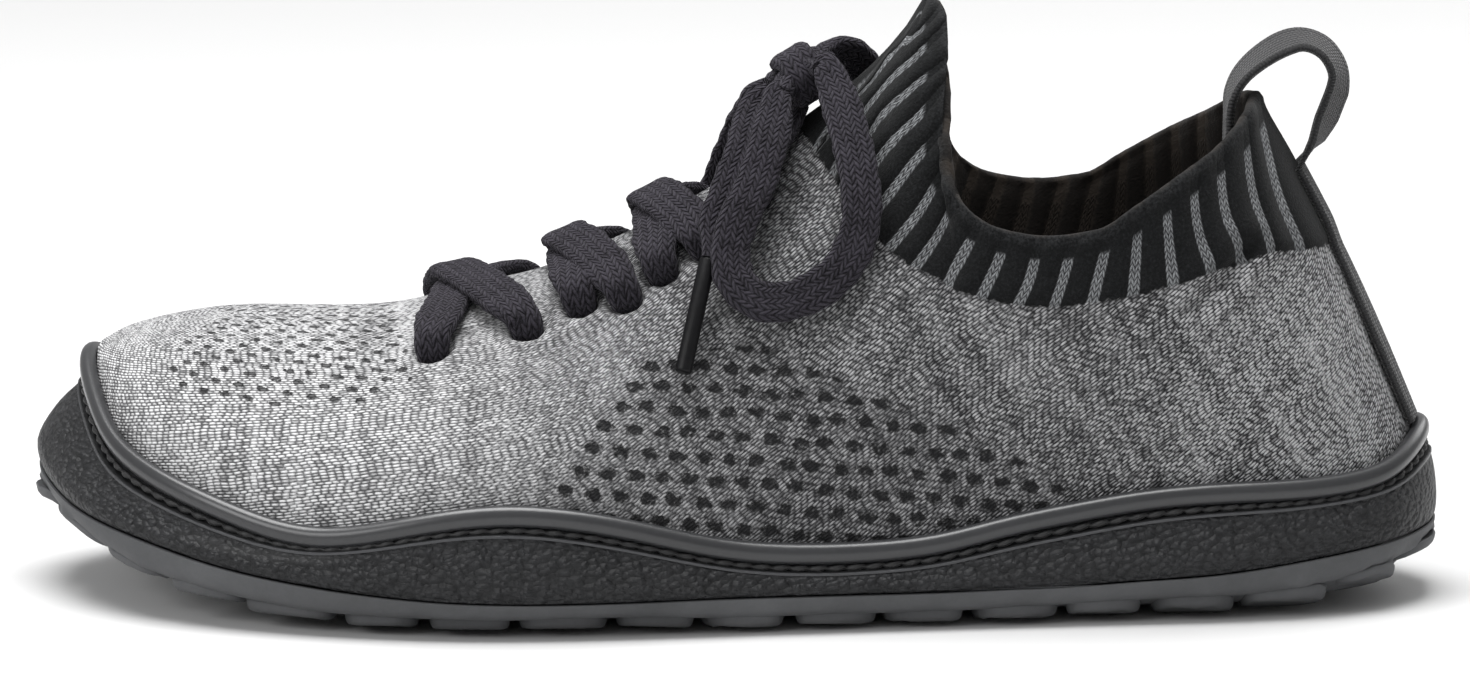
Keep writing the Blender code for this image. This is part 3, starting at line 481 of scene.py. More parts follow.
# %% Stitches as shader maths
def stitches(finish, u, v, wide, high, lean):
    """Columns of V stitches on a flat measure: their height, and one random number for each."""
    over = u / wide
    side = over.share()
    leg = side.away() * 2
    up = v / high + leg * lean
    yarn = up.share()
    height = (1 - yarn * yarn * 3.4) * (1 - (leg - 0.5).away().math("POWER", 3.0) * 4.5)
    chance = finish.chance(over.math("FLOOR") + side.math("GREATER_THAN", 0.0) * 0.37, up.math("FLOOR"))
    return height, chance


def lace_yarn():
    finish = Finish("lace yarn", Roughness=0.95, Sheen_Weight=0.12, Sheen_Roughness=0.5,
                    Sheen_Tint=(0.75, 0.72, 0.8), Specular_IOR_Level=0.08)
    along, around = finish.cloth()
    place = finish.place()
    fluff = finish.noise(place, 1500.0, 3.0, 0.7)
    cloud = finish.noise(place, 160.0, 2.0)
    height, chance = stitches(finish, around + (cloud - 0.5) * 0.0003, along, 0.0021, 0.00135, 1.1)
    shade = chance * 0.25 + (fluff - 0.5) * 1.8 + (cloud - 0.5) * 0.4 + height * 0.8 - 0.12
    dark, pale = (0.0036, 0.0032, 0.0042), (0.042, 0.0385, 0.048)
    finish.feed("Base Color", finish.blend(shade.smooth(0.0, 1.0), dark, pale))
    finish.bump(height * 1.2 + fluff * 0.7, 0.00040)
    return finish


lace_finish = lace_yarn()
for piece in laces.values():
    wear(piece, lace_finish)
print("lace finish on", len(lace_finish.material.node_tree.nodes), "nodes")

# %% [markdown]
# ## The lace's hard tips
# An aglet is a strip of black plastic film wound tight round the braid. It is a short rod whose two ends are
# rounded, made from a cylinder by hand: the edges round its ends are selected and bevelled.

# %% The tips
AGLET_RADIUS = 0.0016
AGLET_ROUND = 0.00045


def make_tip(name, run):
    end, before = Vector(run[-1]), Vector(run[-4])
    along = (end - before).normalized()
    bpy.ops.mesh.primitive_cylinder_add(
        vertices=28, radius=AGLET_RADIUS, depth=AGLET_LENGTH, end_fill_type="NGON",
        location=end + along * (AGLET_LENGTH / 2 + TOUCH), rotation=along.to_track_quat("Z", "Y").to_euler(),
    )
    tip = bpy.context.object
    tip.name = tip.data.name = name
    edit(tip, "DESELECT")
    bpy.ops.object.mode_set(mode="OBJECT")
    for edge in tip.data.edges:
        low, high = (tip.data.vertices[k].co.z for k in edge.vertices)
        edge.select = abs(low - high) < 0.0001
    bpy.ops.object.mode_set(mode="EDIT")
    bpy.ops.mesh.select_mode(type="EDGE")
    bpy.ops.mesh.bevel(offset=AGLET_ROUND, segments=3, affect="EDGES")
    bpy.ops.object.mode_set(mode="OBJECT")
    bpy.ops.object.transform_apply(location=True, rotation=True, scale=True)
    smooth(tip, 40)
    return tip


def plastic_film():
    finish = Finish("black plastic film", Specular_IOR_Level=0.2)
    place = finish.place()
    scratch = finish.noise(place, 900.0, 3.0)
    finish.feed("Base Color", finish.blend(scratch, (0.003, 0.003, 0.0035), (0.008, 0.008, 0.009)))
    finish.feed("Roughness", 0.26 + scratch * 0.2)
    finish.bump(finish.noise(place, 500.0), 0.0001, 0.4)
    return finish


near_tip = make_tip("near_tip", runs["near_end"])
far_tip = make_tip("far_tip", runs["far_end"])
plastic = plastic_film()
for tip in (near_tip, far_tip):
    wear(tip, plastic)
print("tips:", len(near_tip.data.polygons), "faces each")

# %% [markdown]
# ## The bow's knot
# A bow's knot is the lace wrapped once round its two loops. It is built as that: a wrap that runs over the top from
# the toe side to the heel side, and the two folds of the loops that come out from under it.

# %% The knot
def knot_place(turn, lift, along=0.0):
    """A place round the knot from its own middle: turn 0 is on top, 90 towards the outer side."""
    tilt = math.radians(KNOT_TILT)
    up = np.array((math.sin(tilt), 0, math.cos(tilt)))
    ahead = np.array((math.cos(tilt), 0, -math.sin(tilt)))
    angle = math.radians(turn)
    return (np.array(KNOT_PLACE) + up * math.cos(angle) * (KNOT_HALF[2] + lift) +
            LEVEL * -math.sin(angle) * (KNOT_HALF[1] + lift) + ahead * along)


def make_knot():
    """The wrap, and the four folds where the loops come out from under it."""
    middle = np.array(KNOT_PLACE)
    wrap = smooth_run([knot_place(turn, -0.0011, 0.0012 * math.sin(math.radians(turn))) for turn in
                       range(-170, 200, 20)], 90)
    even = np.ones(len(wrap))
    parts = [sweep_braid("wrap", wrap, units(wrap - middle), even * LACE_WIDTH * 0.98, even * LACE_THICKNESS * 0.92)]
    for side, turns in ((-1, (240, 300)), (1, (120, 60))):
        for number, turn in enumerate(turns):
            start, way = knot_out(turn)
            inner = middle + np.array((0, side * 0.001, 0.0015 - 0.001 * number))
            between = inner * 0.45 + start * 0.55 + np.array((0, 0, 0.0012))
            fold = smooth_run([inner, between, start + way * 0.002], 16)
            wide = np.linspace(0.6, 0.64, len(fold)) * LACE_WIDTH
            facing = np.array((0.25 * side, side * -0.15, 1.0))
            parts.append(sweep_braid("fold", fold, facing, wide, thickness_for(wide)))
    return join_as("bow_knot", parts)


knot = make_knot()
wear(knot, lace_finish)
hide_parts("lace_knot")
print("knot:", len(knot.data.polygons), "faces")

# %% [markdown]
# The solids of the four free stretches and of the two aglets are hidden; the length and a few points of each stretch
# are worked out but not kept. All of the free lace shows in the photograph, so nothing of it is coiled away.


def declare(name, node):
    run = runs[name]
    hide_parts(node)
    run_length(run)
    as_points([tuple(place) for place in run[::4]] + [tuple(run[-1])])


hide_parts("aglet_near")
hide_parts("aglet_far")
declare("near_loop", "lace_loop_near")
declare("far_loop", "lace_loop_far")
declare("near_end", "lace_end_near")
declare("far_end", "lace_end_far")

# %% [markdown]
# ## The forms the shoe was lofted from
# The same tables that shaped the solids shape the dressed pieces, so a finer skin lies exactly where its solid is.
# A section is a row of the table, from the toe (0) to the heel (21), and a place on the knit is its row and its rise,
# from 0 at the rubber bead to 1 at the top edge.

# %% The tables
LENGTH = 0.272
BALL_WIDTH = 0.103
SIDE_HEIGHT = 0.025
TONGUE_HEIGHT = 0.115
SOLE_THICKNESS = 0.0055
LUG_DEPTH = 0.0018
KNIT_WALL = 0.0022
COLLAR_STEP = 0.0006
BEAD_HEIGHT = 0.0042
BEAD_STAND = 0.0038
GROOVE_DEPTH = 0.0018
WALL_FOOT = 0.0034
FOOT_FOLLOWS = 0.65
GAP = 0.0003
KNIT_CLEAR = 0.0005
SECTION_COLUMNS = (
    "x y_out y_in low_out low_in part_out part_in seam_out seam_in "
    "bead_out bead_in lean spring top full"
).split()
SECTIONS = (
    (0.000, 0.120, 0.120, 0.66, 0.66, 0.92, 0.92, 1.52, 1.52, 1.80, 1.80, 0.46, 0.66, 0.00, 2.5),
    (0.012, -0.030, 0.260, 0.58, 0.60, 0.83, 0.88, 1.34, 1.48, 1.62, 1.76, 0.42, 0.58, 0.03, 2.5),
    (0.040, -0.185, 0.365, 0.44, 0.46, 0.72, 0.76, 1.08, 1.28, 1.36, 1.56, 0.34, 0.43, 0.10, 2.45),
    (0.085, -0.310, 0.450, 0.28, 0.30, 0.61, 0.62, 0.90, 1.06, 1.15, 1.32, 0.26, 0.25, 0.17, 2.4),
    (0.140, -0.400, 0.482, 0.18, 0.18, 0.48, 0.48, 0.74, 0.92, 0.97, 1.18, 0.21, 0.12, 0.25, 2.3),
    (0.205, -0.465, 0.485, 0.10, 0.10, 0.38, 0.38, 0.64, 0.80, 0.83, 1.03, 0.18, 0.035, 0.34, 2.2),
    (0.275, -0.505, 0.475, 0.08, 0.06, 0.31, 0.31, 0.74, 0.72, 0.94, 0.95, 0.17, 0.0, 0.43, 2.1),
    (0.345, -0.515, 0.455, 0.07, 0.05, 0.28, 0.28, 0.81, 0.67, 1.03, 0.90, 0.17, 0.0, 0.52, 2.0),
    (0.420, -0.497, 0.415, 0.08, 0.07, 0.28, 0.29, 0.70, 0.66, 0.93, 0.89, 0.17, 0.0, 0.62, 1.9),
    (0.490, -0.468, 0.366, 0.05, 0.11, 0.29, 0.32, 0.53, 0.67, 0.75, 0.90, 0.17, 0.0, 0.74, 1.8),
    (0.550, -0.443, 0.330, 0.05, 0.13, 0.29, 0.33, 0.46, 0.69, 0.685, 0.92, 0.17, 0.0, 0.87, 1.7),
    (0.600, -0.424, 0.313, 0.05, 0.12, 0.29, 0.33, 0.465, 0.71, 0.69, 0.94, 0.17, 0.0, 1.00, 1.65),
    (0.645, -0.407, 0.306, 0.05, 0.10, 0.29, 0.32, 0.51, 0.735, 0.74, 0.965, 0.17, 0.0, 1.17, 1.7),
    (0.690, -0.391, 0.306, 0.06, 0.09, 0.30, 0.32, 0.61, 0.765, 0.85, 0.99, 0.17, 0.0, 1.34, 1.8),
    (0.735, -0.377, 0.310, 0.08, 0.09, 0.31, 0.32, 0.70, 0.79, 0.945, 1.015, 0.17, 0.0, 1.48, 1.9),
    (0.785, -0.363, 0.319, 0.10, 0.10, 0.34, 0.34, 0.79, 0.81, 1.03, 1.04, 0.17, 0.0, 1.60, 2.0),
    (0.835, -0.348, 0.324, 0.11, 0.11, 0.37, 0.37, 0.84, 0.84, 1.07, 1.065, 0.17, 0.0, 1.71, 2.0),
    (0.885, -0.322, 0.312, 0.13, 0.13, 0.43, 0.43, 0.86, 0.86, 1.075, 1.075, 0.17, 0.01, 1.81, 2.0),
    (0.930, -0.279, 0.275, 0.19, 0.19, 0.49, 0.49, 0.89, 0.89, 1.09, 1.09, 0.175, 0.05, 1.88, 2.0),
    (0.968, -0.208, 0.207, 0.27, 0.27, 0.54, 0.54, 0.95, 0.95, 1.16, 1.16, 0.18, 0.14, 1.93, 2.0),
    (0.992, -0.105, 0.105, 0.34, 0.34, 0.57, 0.57, 1.06, 1.06, 1.30, 1.30, 0.19, 0.28, 1.97, 2.0),
    (1.000, 0.000, 0.000, 0.36, 0.36, 0.58, 0.58, 1.10, 1.10, 1.36, 1.36, 0.19, 0.36, 2.00, 2.0),
)
TIP_ROW = 11
RIDGE = (
    # at, x, y, z along the ridge from the toe to the tongue's peak
    (0.00, 0.049, 0.118, 0.394), (0.06, 0.075, 0.110, 0.421), (0.13, 0.110, 0.100, 0.441), (0.22, 0.155, 0.080, 0.458),
    (0.32, 0.205, 0.050, 0.470), (0.42, 0.255, 0.025, 0.480), (0.50, 0.300, 0.010, 0.497), (0.58, 0.345, 0.000, 0.528),
    (0.66, 0.395, 0.000, 0.575), (0.74, 0.445, 0.000, 0.633), (0.82, 0.495, 0.000, 0.705), (0.89, 0.545, 0.000, 0.790),
    (0.95, 0.592, 0.000, 0.870), (0.98, 0.620, 0.000, 0.940), (1.00, 0.638, 0.000, 1.000),
)
RIM = (
    # at, x, half the opening's width, z along the rim from the peak to the heel
    (1.00, 0.638, 0.000, 1.000), (1.05, 0.648, 0.060, 0.970), (1.12, 0.648, 0.130, 0.895), (1.20, 0.646, 0.190, 0.820),
    (1.28, 0.646, 0.240, 0.755), (1.36, 0.657, 0.275, 0.695), (1.44, 0.683, 0.293, 0.650), (1.53, 0.718, 0.300, 0.637),
    (1.61, 0.752, 0.298, 0.647), (1.69, 0.779, 0.287, 0.685), (1.78, 0.812, 0.255, 0.735), (1.86, 0.840, 0.195, 0.778),
    (1.93, 0.860, 0.105, 0.820), (2.00, 0.868, 0.000, 0.838),
)
RIM_INNER_RAISE = 0.013
ROLL_END = 0.6
SIDE_BULGE = 0.0015
NUDGE = 0.02

# %% Smooth curves through the tables
def ring_spline(values):
    """A smooth closed curve through the values, one knot a step: returns a function of the step."""
    y = np.array(values, float)
    n = len(y)
    grid = np.zeros((n, n))
    for i in range(n):
        grid[i, (i - 1) % n] = 1
        grid[i, i] = 4
        grid[i, (i + 1) % n] = 1
    bend = np.linalg.solve(grid, 6 * (np.roll(y, -1) - 2 * y + np.roll(y, 1)))

    def at(step):
        step = step % n
        i = int(step)
        j = (i + 1) % n
        b = step - i
        a = 1 - b
        return a * y[i] + b * y[j] + ((a**3 - a) * bend[i] + (b**3 - b) * bend[j]) / 6

    return at


def rising_spline(knots, values):
    """A smooth open curve that never overshoots its values."""
    x = np.array(knots, float)
    y = np.array(values, float)
    h = np.diff(x)
    d = np.diff(y) / h
    m = np.zeros(len(x))
    m[0] = d[0]
    m[-1] = d[-1]
    for i in range(1, len(x) - 1):
        if d[i - 1] * d[i] > 0:
            w1 = 2 * h[i] + h[i - 1]
            w2 = h[i] + 2 * h[i - 1]
            m[i] = (w1 + w2) / (w1 / d[i - 1] + w2 / d[i])

    def at(p):
        i = int(np.clip(np.searchsorted(x, p) - 1, 0, len(h) - 1))
        s = (p - x[i]) / h[i]
        return (
            y[i] * (1 + 2 * s) * (1 - s) ** 2
            + m[i] * h[i] * s * (1 - s) ** 2
            + y[i + 1] * s * s * (3 - 2 * s)
            + m[i + 1] * h[i] * s * s * (s - 1)
        )

    return at


LAST = len(SECTIONS) - 1


def section_column(name):
    return [row[SECTION_COLUMNS.index(name)] for row in SECTIONS]


def section_ring(name):
    """A section column as one ring: out along the outer side, back along the inner side."""
    two_sided = name not in SECTION_COLUMNS
    there, back = (section_column(name + side if two_sided else name) for side in ("_out", "_in"))
    return ring_spline(there + back[-2:0:-1])


def table_curves(table):
    """A curve for each column of a table, over its first one."""
    at, *columns = np.array(table).T
    return [rising_spline(at, values) for values in columns]


RING_X, RING_Y, RING_LOW, RING_PART = map(section_ring, ("x", "y", "low", "part"))
RING_SEAM, RING_BEAD, RING_LEAN, RING_FULL = map(section_ring, ("seam", "bead", "lean", "full"))
TOP_AT = rising_spline(range(LAST + 1), section_column("top"))
SPRING_AT = rising_spline(range(LAST + 1), section_column("spring"))
RIDGE_X, RIDGE_Y, RIDGE_Z = table_curves(RIDGE)
RIM_X, RIM_HALF, RIM_Z = table_curves(RIM)


def ring_step(row, side):
    """The ring's step for a place between the rows; side is -1 on the outer side and 1 on the inner."""
    return row if side < 0 else -row


def outline(step):
    """A point of the shoe's widest outline, seen from above."""
    return np.array(((RING_X(step) - 0.5) * LENGTH, RING_Y(step) * BALL_WIDTH))


def inward(step):
    """The level direction from the outline into the shoe."""
    along = unit(outline(step + NUDGE) - outline(step - NUDGE))
    return np.array((-along[1], along[0]))


def wall_point(step, inset, height):
    """A place inside the outline, at a height."""
    flat = outline(step) + inward(step) * inset
    return np.array((flat[0], flat[1], height))


def top_point(row, side):
    """The upper's top edge: the ridge over the toes and instep, then the collar rim."""
    at = TOP_AT(row)
    if at <= 1:
        return np.array(((RIDGE_X(at) - 0.5) * LENGTH, RIDGE_Y(at) * BALL_WIDTH, RIDGE_Z(at) * TONGUE_HEIGHT))
    raised = RIM_INNER_RAISE * math.sin(math.pi * (at - 1)) if side > 0 else 0
    return np.array((
        (RIM_X(at) - 0.5) * LENGTH,
        side * RIM_HALF(at) * BALL_WIDTH,
        (RIM_Z(at) + raised) * TONGUE_HEIGHT,
    ))


def upper_point(row, side, rise):
    """A point of the knit's outer face; rise goes from 0 at the bead to 1 at the top edge."""
    step = ring_step(row, side)
    at = TOP_AT(row)
    foot = wall_point(step, RING_LEAN(step) * SIDE_HEIGHT + KNIT_CLEAR, RING_BEAD(step) * SIDE_HEIGHT)
    top = top_point(row, side)
    full = RING_FULL(step)
    turn = rise * math.pi / 2
    rolled_in = 1 - math.cos(turn) ** (2 / full)
    rolled_up = math.sin(turn) ** (2 / full)
    roll = 1 if at <= 1 else max(0, 1 - (at - 1) / ROLL_END) ** 2
    level = roll * rolled_in + (1 - roll) * rise
    upright = roll * rolled_up + (1 - roll) * rise
    point = foot + (top - foot) * np.array((level, level, upright))
    out = inward(step) * -SIDE_BULGE * (1 - roll) * math.sin(math.pi * rise)
    return point + np.array((out[0], out[1], 0))


def slab_top(row, side_share):
    """The height of the sole's inside: level in the middle and dished up to the parting line at its edges."""
    side = -1 if side_share < 0 else 1
    middle = SPRING_AT(row) * SIDE_HEIGHT + SOLE_THICKNESS
    edge = RING_PART(ring_step(row, side)) * SIDE_HEIGHT
    return edge + (middle - edge) * (1 - dish(side_share, 0.5)) * closing(row)


def slab_bottom(row, side_share):
    """The height of the sole's underside between the lugs."""
    side = -1 if side_share < 0 else 1
    middle = SPRING_AT(row) * SIDE_HEIGHT
    edge = RING_LOW(ring_step(row, side)) * SIDE_HEIGHT
    return edge + (middle - edge) * (1 - dish(side_share, 0.72)) * closing(row) + LUG_DEPTH


def closing(row):
    """1 along the sole, falling to 0 where a section closes to a point at the toe and the heel."""
    return min(1, row, LAST - row)


def dish(side_share, start):
    """0 in the middle of the sole, rising smoothly to 1 at its edge."""
    return max(0, (abs(side_share) - start) / (1 - start)) ** 2


def across(row, inset, side_share):
    """A point between the two edges of a section, from -1 on the outer side to 1 on the inner."""
    outer = edge_point(row, -1, inset, 0)
    inner = edge_point(row, 1, inset, 0)
    return outer + (inner - outer) * (side_share + 1) / 2


def edge_point(row, side, inset, height):
    return wall_point(ring_step(row, side), inset, height)


def lean_out(step):
    """How far the wall's top leans in from the widest outline, under the bead."""
    return max(0, RING_LEAN(step) * SIDE_HEIGHT - BEAD_STAND)


def foot_inset(step):
    """How far inside the outline the sidewall's inner face meets the sole."""
    return WALL_FOOT + lean_out(step) * FOOT_FOLLOWS


def surface_frame(row, side, rise):
    """A point of the knit and its outward normal."""
    along = upper_point(row + NUDGE, side, rise) - upper_point(row - NUDGE, side, rise)
    up = upper_point(row, side, min(rise + NUDGE, 1)) - upper_point(row, side, rise - NUDGE)
    return upper_point(row, side, rise), unit(np.cross(along, up) * -side)


def stations_round(count):
    """Places round the shoe as row and side: toe to heel on the outer side, back on the inner, closed."""
    rows = np.linspace(0, LAST, count)
    there = [(row, -1) for row in rows]
    return there + [(row, 1) for row in rows[-2:0:-1]] + there[:1]


print("sections:", LAST + 1, "length", LENGTH)

# %% [markdown]
# ## Where the knit's ribs, holes and seams lie
# The collar is one knit with the rest: black, with narrow grey ribs that fan out from the instep to the heel. Each
# rib is a short line in side view, in millimetres, and every corner of the knit gets its place between two ribs as
# one number. The material then only has to ask how near that number is to a whole one.

# %% Lines on the side of the shoe
RIBS = (
    ((35.3, 112.1), (32.7, 108.2), (29.9, 104.9), (27.4, 101.8)),
    ((35.8, 110.0), (31.1, 105.9), (27.7, 100.7), (25.0, 98.0)),
    ((36.5, 107.2), (31.1, 101.9), (27.2, 97.3), (25.2, 94.7), (22.7, 90.3)),
    ((37.1, 102.2), (33.5, 99.7), (28.5, 94.9), (25.9, 91.0), (24.1, 88.2)),
    ((37.0, 97.3), (34.8, 94.7), (31.2, 91.6), (27.6, 87.3), (25.8, 84.4)),
    ((36.6, 89.7), (33.6, 86.4), (29.6, 81.4), (26.2, 76.9)),
    ((38.4, 83.2), (35.0, 77.8), (30.8, 72.9), (29.3, 71.3)),
    ((41.2, 78.0), (38.0, 72.9), (35.0, 69.0)),
    ((45.5, 74.7), (43.1, 69.7), (40.7, 65.0)),
    ((51.0, 72.5), (49.2, 67.8), (46.9, 63.0)),
    ((57.1, 71.0), (55.8, 65.7), (53.7, 61.1)),
    ((63.3, 70.6), (62.0, 65.7), (60.4, 61.0)),
    ((70.5, 73.1), (69.1, 67.6), (67.7, 62.1)),
    ((76.2, 77.7), (75.8, 70.1), (75.3, 62.7)),
    ((81.5, 81.8), (81.9, 74.4), (82.9, 64.5)),
    ((86.5, 85.3), (87.4, 75.4), (90.4, 66.0)),
    ((91.6, 88.2), (92.8, 76.9), (97.2, 67.3)),
    ((97.0, 90.8), (98.2, 80.4), (101.6, 69.7)),
    ((100.1, 91.6), (102.9, 79.7), (107.8, 69.1)),
)
RIB_PITCH = 6.0
BORDER = (
    (16.0, 86.5), (21.7, 79.2), (25.6, 74.5), (29.3, 70.8), (32.3, 68.6), (37.1, 66.1), (42.6, 63.1), (50.3, 61.3),
    (57.7, 60.6), (61.4, 60.6), (69.1, 61.5), (78.6, 63.1), (84.3, 64.6), (90.0, 66.4), (97.0, 67.8),
    (101.9, 69.2), (107.8, 68.7), (116.0, 68.0),
)
SEAM = ((84.4, 53.2), (82.4, 47.5), (80.5, 42.8), (80.2, 37.0), (80.8, 31.2), (80.8, 24.0))
CREASE = ((87.5, 60.0), (93.1, 65.9), (97.6, 70.0))
SIDE_HOLES = ((-35.0, 14.0), (-33.0, 31.0), (-18.1, 51.4), (4.7, 53.4), (21.7, 46.4), (42.7, 37.4), (61.7, 28.2),
              (66.5, 23.8), (66.5, 14.0))
TOE_HOLES = ((2.8, 0.42), (2.95, 0.8), (3.3, 1.0), (5.9, 1.0), (6.05, 0.5), (5.5, 0.43), (4.1, 0.38), (3.3, 0.36))
TOE_GRID = (12.9, 30.0)
EYELETS = ((6.32, 0.62), (7.42, 0.655), (8.02, 0.70), (8.43, 0.66), (8.82, 0.70), (9.25, 0.71), (9.75, 0.76))
RIB_LINES = [smooth_run([(*place, 0) for place in rib], 12)[:, :2] for rib in RIBS]
print("ribs:", len(RIBS), "eyelets a side:", len(EYELETS))

# %% How far a place is from a line
def beside(places, line, open_ended=True):
    """Signed distance of flat places from a line of points: positive on its heel side."""
    line = np.asarray(line, float)
    best = np.full(len(places), 1e9)
    signed = np.zeros(len(places))
    for k in range(len(line) - 1):
        start, way = line[k], line[k + 1] - line[k]
        share = (places - start) @ way / (way @ way)
        low = -1e9 if open_ended and k == 0 else 0
        high = 1e9 if open_ended and k == len(line) - 2 else 1
        nearest = start + np.clip(share, low, high)[:, None] * way
        away = places - nearest
        distance = np.hypot(away[:, 0], away[:, 1])
        side = np.sign(way[0] * away[:, 1] - way[1] * away[:, 0])
        closer = distance < best
        best = np.where(closer, distance, best)
        signed = np.where(closer, side * distance, signed)
    return signed


def rib_number(places):
    """The place between the ribs as one number: whole on each rib."""
    away = np.array([beside(places, rib) for rib in RIB_LINES])
    passed = (away > 0).cumprod(axis=0).sum(axis=0)
    before = np.clip(passed - 1, 0, len(RIBS) - 1)
    after = np.clip(passed, 0, len(RIBS) - 1)
    here = np.arange(len(places))
    gone = away[before, here]
    left = -away[after, here]
    between = before + gone / np.maximum(gone + left, 1e-6)
    number = np.where(passed == 0, away[0] / RIB_PITCH, between)
    return np.where(passed == len(RIBS), len(RIBS) - 1 + away[-1] / RIB_PITCH, number)


def within(places, border, soft):
    """1 inside a closed border, easing to 0 over a soft edge."""
    border = np.asarray(border, float)
    inside = np.zeros(len(places), bool)
    for k in range(len(border)):
        (x1, y1), (x2, y2) = border[k], border[(k + 1) % len(border)]
        crosses = (y1 > places[:, 1]) != (y2 > places[:, 1])
        reach = (x2 - x1) * (places[:, 1] - y1) / ((y2 - y1) or 1e-9) + x1
        inside ^= crosses & (places[:, 0] < reach)
    closed = np.vstack([border, border[:1]])
    edge = np.abs(beside(places, closed, open_ended=False))
    return eased(np.where(inside, edge, -edge), -soft, soft)


print("rib number half way up the side:", rib_number(np.array([[62.5, 66.0]]))[0].round(2))

# %% [markdown]
# ## The knitted upper
# The upper is knitted like a sock, in one piece with its collar. It is grown as one closed grid: up the outside, over
# a rounded rim and down the inside, so that its wall is even and its edge is soft. Soft troughs are pressed into it:
# the creases behind the ankle, the pull of the lace at each eyelet, and the slight waves of an empty knit.

# %% The upper's corners
KNIT_ROWS = 211
RISES = 74
SKIRT = 4
RIM_STEPS = 5
MERGE_FINE = 0.000004
PEAK = 110


def skirt_points(row, side):
    """The knit's outer face below the bead, between the sidewall and the sole."""
    step = ring_step(row, side)
    part = RING_PART(step) * SIDE_HEIGHT
    bead = RING_BEAD(step) * SIDE_HEIGHT
    lean = RING_LEAN(step) * SIDE_HEIGHT
    low = slab_top(row, side * 0.93) + 2 * GAP
    foot = foot_inset(step)
    points = []
    for share in np.linspace(0, 1, SKIRT + 1)[:-1]:
        height = low + (bead - low) * share
        through = (height - part) / (bead - part)
        points.append(wall_point(step, foot + (lean - foot) * max(0, through) + KNIT_CLEAR, height))
    return points


def knit_sheet():
    """The outer face: stations round the shoe, and at each the skirt under the bead and then the knit above it."""
    stations = stations_round(KNIT_ROWS)
    shares = np.linspace(0, 1, RISES)
    sheet = [skirt_points(row, side) + [upper_point(row, side, share) for share in shares] for row, side in stations]
    return stations, shares, np.array(sheet)


stations, shares, sheet = knit_sheet()
print("knit sheet:", sheet.shape)

# %% Which way is out
def outward(sheet):
    """The normals of the sheet, softened, and shared by its two sides along the ridge."""
    around = np.gradient(sheet, axis=0)
    around[0] = around[-1] = sheet[1] - sheet[-2]
    out = np.cross(around, np.gradient(sheet, axis=1))
    for _ in range(4):
        out = units(out)
        softer = out.copy()
        softer[1:-1] += out[:-2] + out[2:]
        softer[:, 1:-1] += out[:, :-2] + out[:, 2:]
        out = softer
        out[-1] = out[0]
    for i in range(PEAK + 1):
        out[i, -1] = out[-1 - i, -1] = out[i, -1] + out[-1 - i, -1]
    out = units(out)
    return out if ((sheet - sheet.mean(axis=(0, 1))) * out).sum() > 0 else -out


out_at = outward(sheet)
print("out of the outer side:", out_at[80, 40].round(2))

# %% [markdown]
# The ribs, holes and seams are now measured at every corner. The flat measure of the knit is its length along the
# shoe and its height up from the bead, so that the courses of the knit stay level on the sides.

# %% Measures on the knit
def knit_measures(sheet):
    """At each corner: the lines and holes of the knit as one number each, in metres, or from 0 to 1."""
    flat = sheet.reshape(-1, 3)
    side_view = flat[:, [0, 2]] * 1000
    rise_of = np.concatenate([np.zeros(SKIRT), shares])
    field = np.stack(np.meshgrid([row for row, _ in stations], rise_of, indexing="ij"), axis=-1).reshape(-1, 2)
    rim = np.array([top_point(row, side) for side in (-1, 1) for row in np.linspace(TIP_ROW, LAST, 240)])
    edge = np.full(len(flat), 0.1)
    near = (field[:, 0] > 8) & (field[:, 1] > 0.2)  # the toe and the foot of the side are nowhere near the rim
    edge[near] = [np.sqrt(((rim - place) ** 2).sum(axis=1).min()) for place in flat[near]]
    eyelet = np.full(len(flat), 0.03)
    for side in (-1, 1):
        for row, rise in EYELETS:
            away = flat - upper_point(row, side, rise)
            eyelet = np.minimum(eyelet, np.sqrt((away ** 2).sum(axis=1)))
    grid = np.array(TOE_GRID)
    return {
        "rib": rib_number(side_view),
        "band": np.where(field[:, 0] > 9.8, beside(side_view, BORDER) / 1000, -0.02),
        "edge": edge,
        "holes": within(side_view, SIDE_HOLES, 2.0),
        "toes": within(field * grid, np.array(TOE_HOLES) * grid, 1.0),
        "seam": np.abs(beside(side_view, SEAM, open_ended=False)) / 1000,
        "crease": beside(side_view, CREASE, open_ended=False) / 1000,
        "eyelet": eyelet,
    }


def knit_cloth(sheet):
    """The knit laid flat: along the shoe, with its turns at toe and heel opened out, and up from the bead."""
    middle = sheet[:KNIT_ROWS, SKIRT + RISES // 3]
    far = far_along(middle[:, :2])
    half_way = KNIT_ROWS // 2
    opened = far - far[half_way] - (middle[:, 0] - middle[half_way, 0])
    opened = np.concatenate([opened, opened[-2:0:-1], opened[:1]])
    up = np.zeros(sheet.shape[:2])
    up[:, 1:] = np.linalg.norm(np.diff(sheet, axis=1), axis=2).cumsum(axis=1)
    bead = slice(SKIRT, SKIRT + 1)
    return np.stack([sheet[..., 0] + opened[:, None], up - up[:, bead] + sheet[:, bead, 2]], axis=-1)


measures = knit_measures(sheet)
cloth = knit_cloth(sheet)
print("corners in the collar band:", int((measures["band"] > 0).sum()))

# %% Press the folds in
CREASE_DEPTH = 0.0013
EYELET_SINK = 0.0024
EYELET_RING = 0.0005
PULL_DEPTH = 0.0011
WAVE_DEPTH = 0.00042
RIM_ROLL = 0.0005
RIM_WAVE = 0.00016


def hump(away, wide):
    """1 in the middle of a fold, falling off softly."""
    return np.exp(-((away / wide) ** 2))


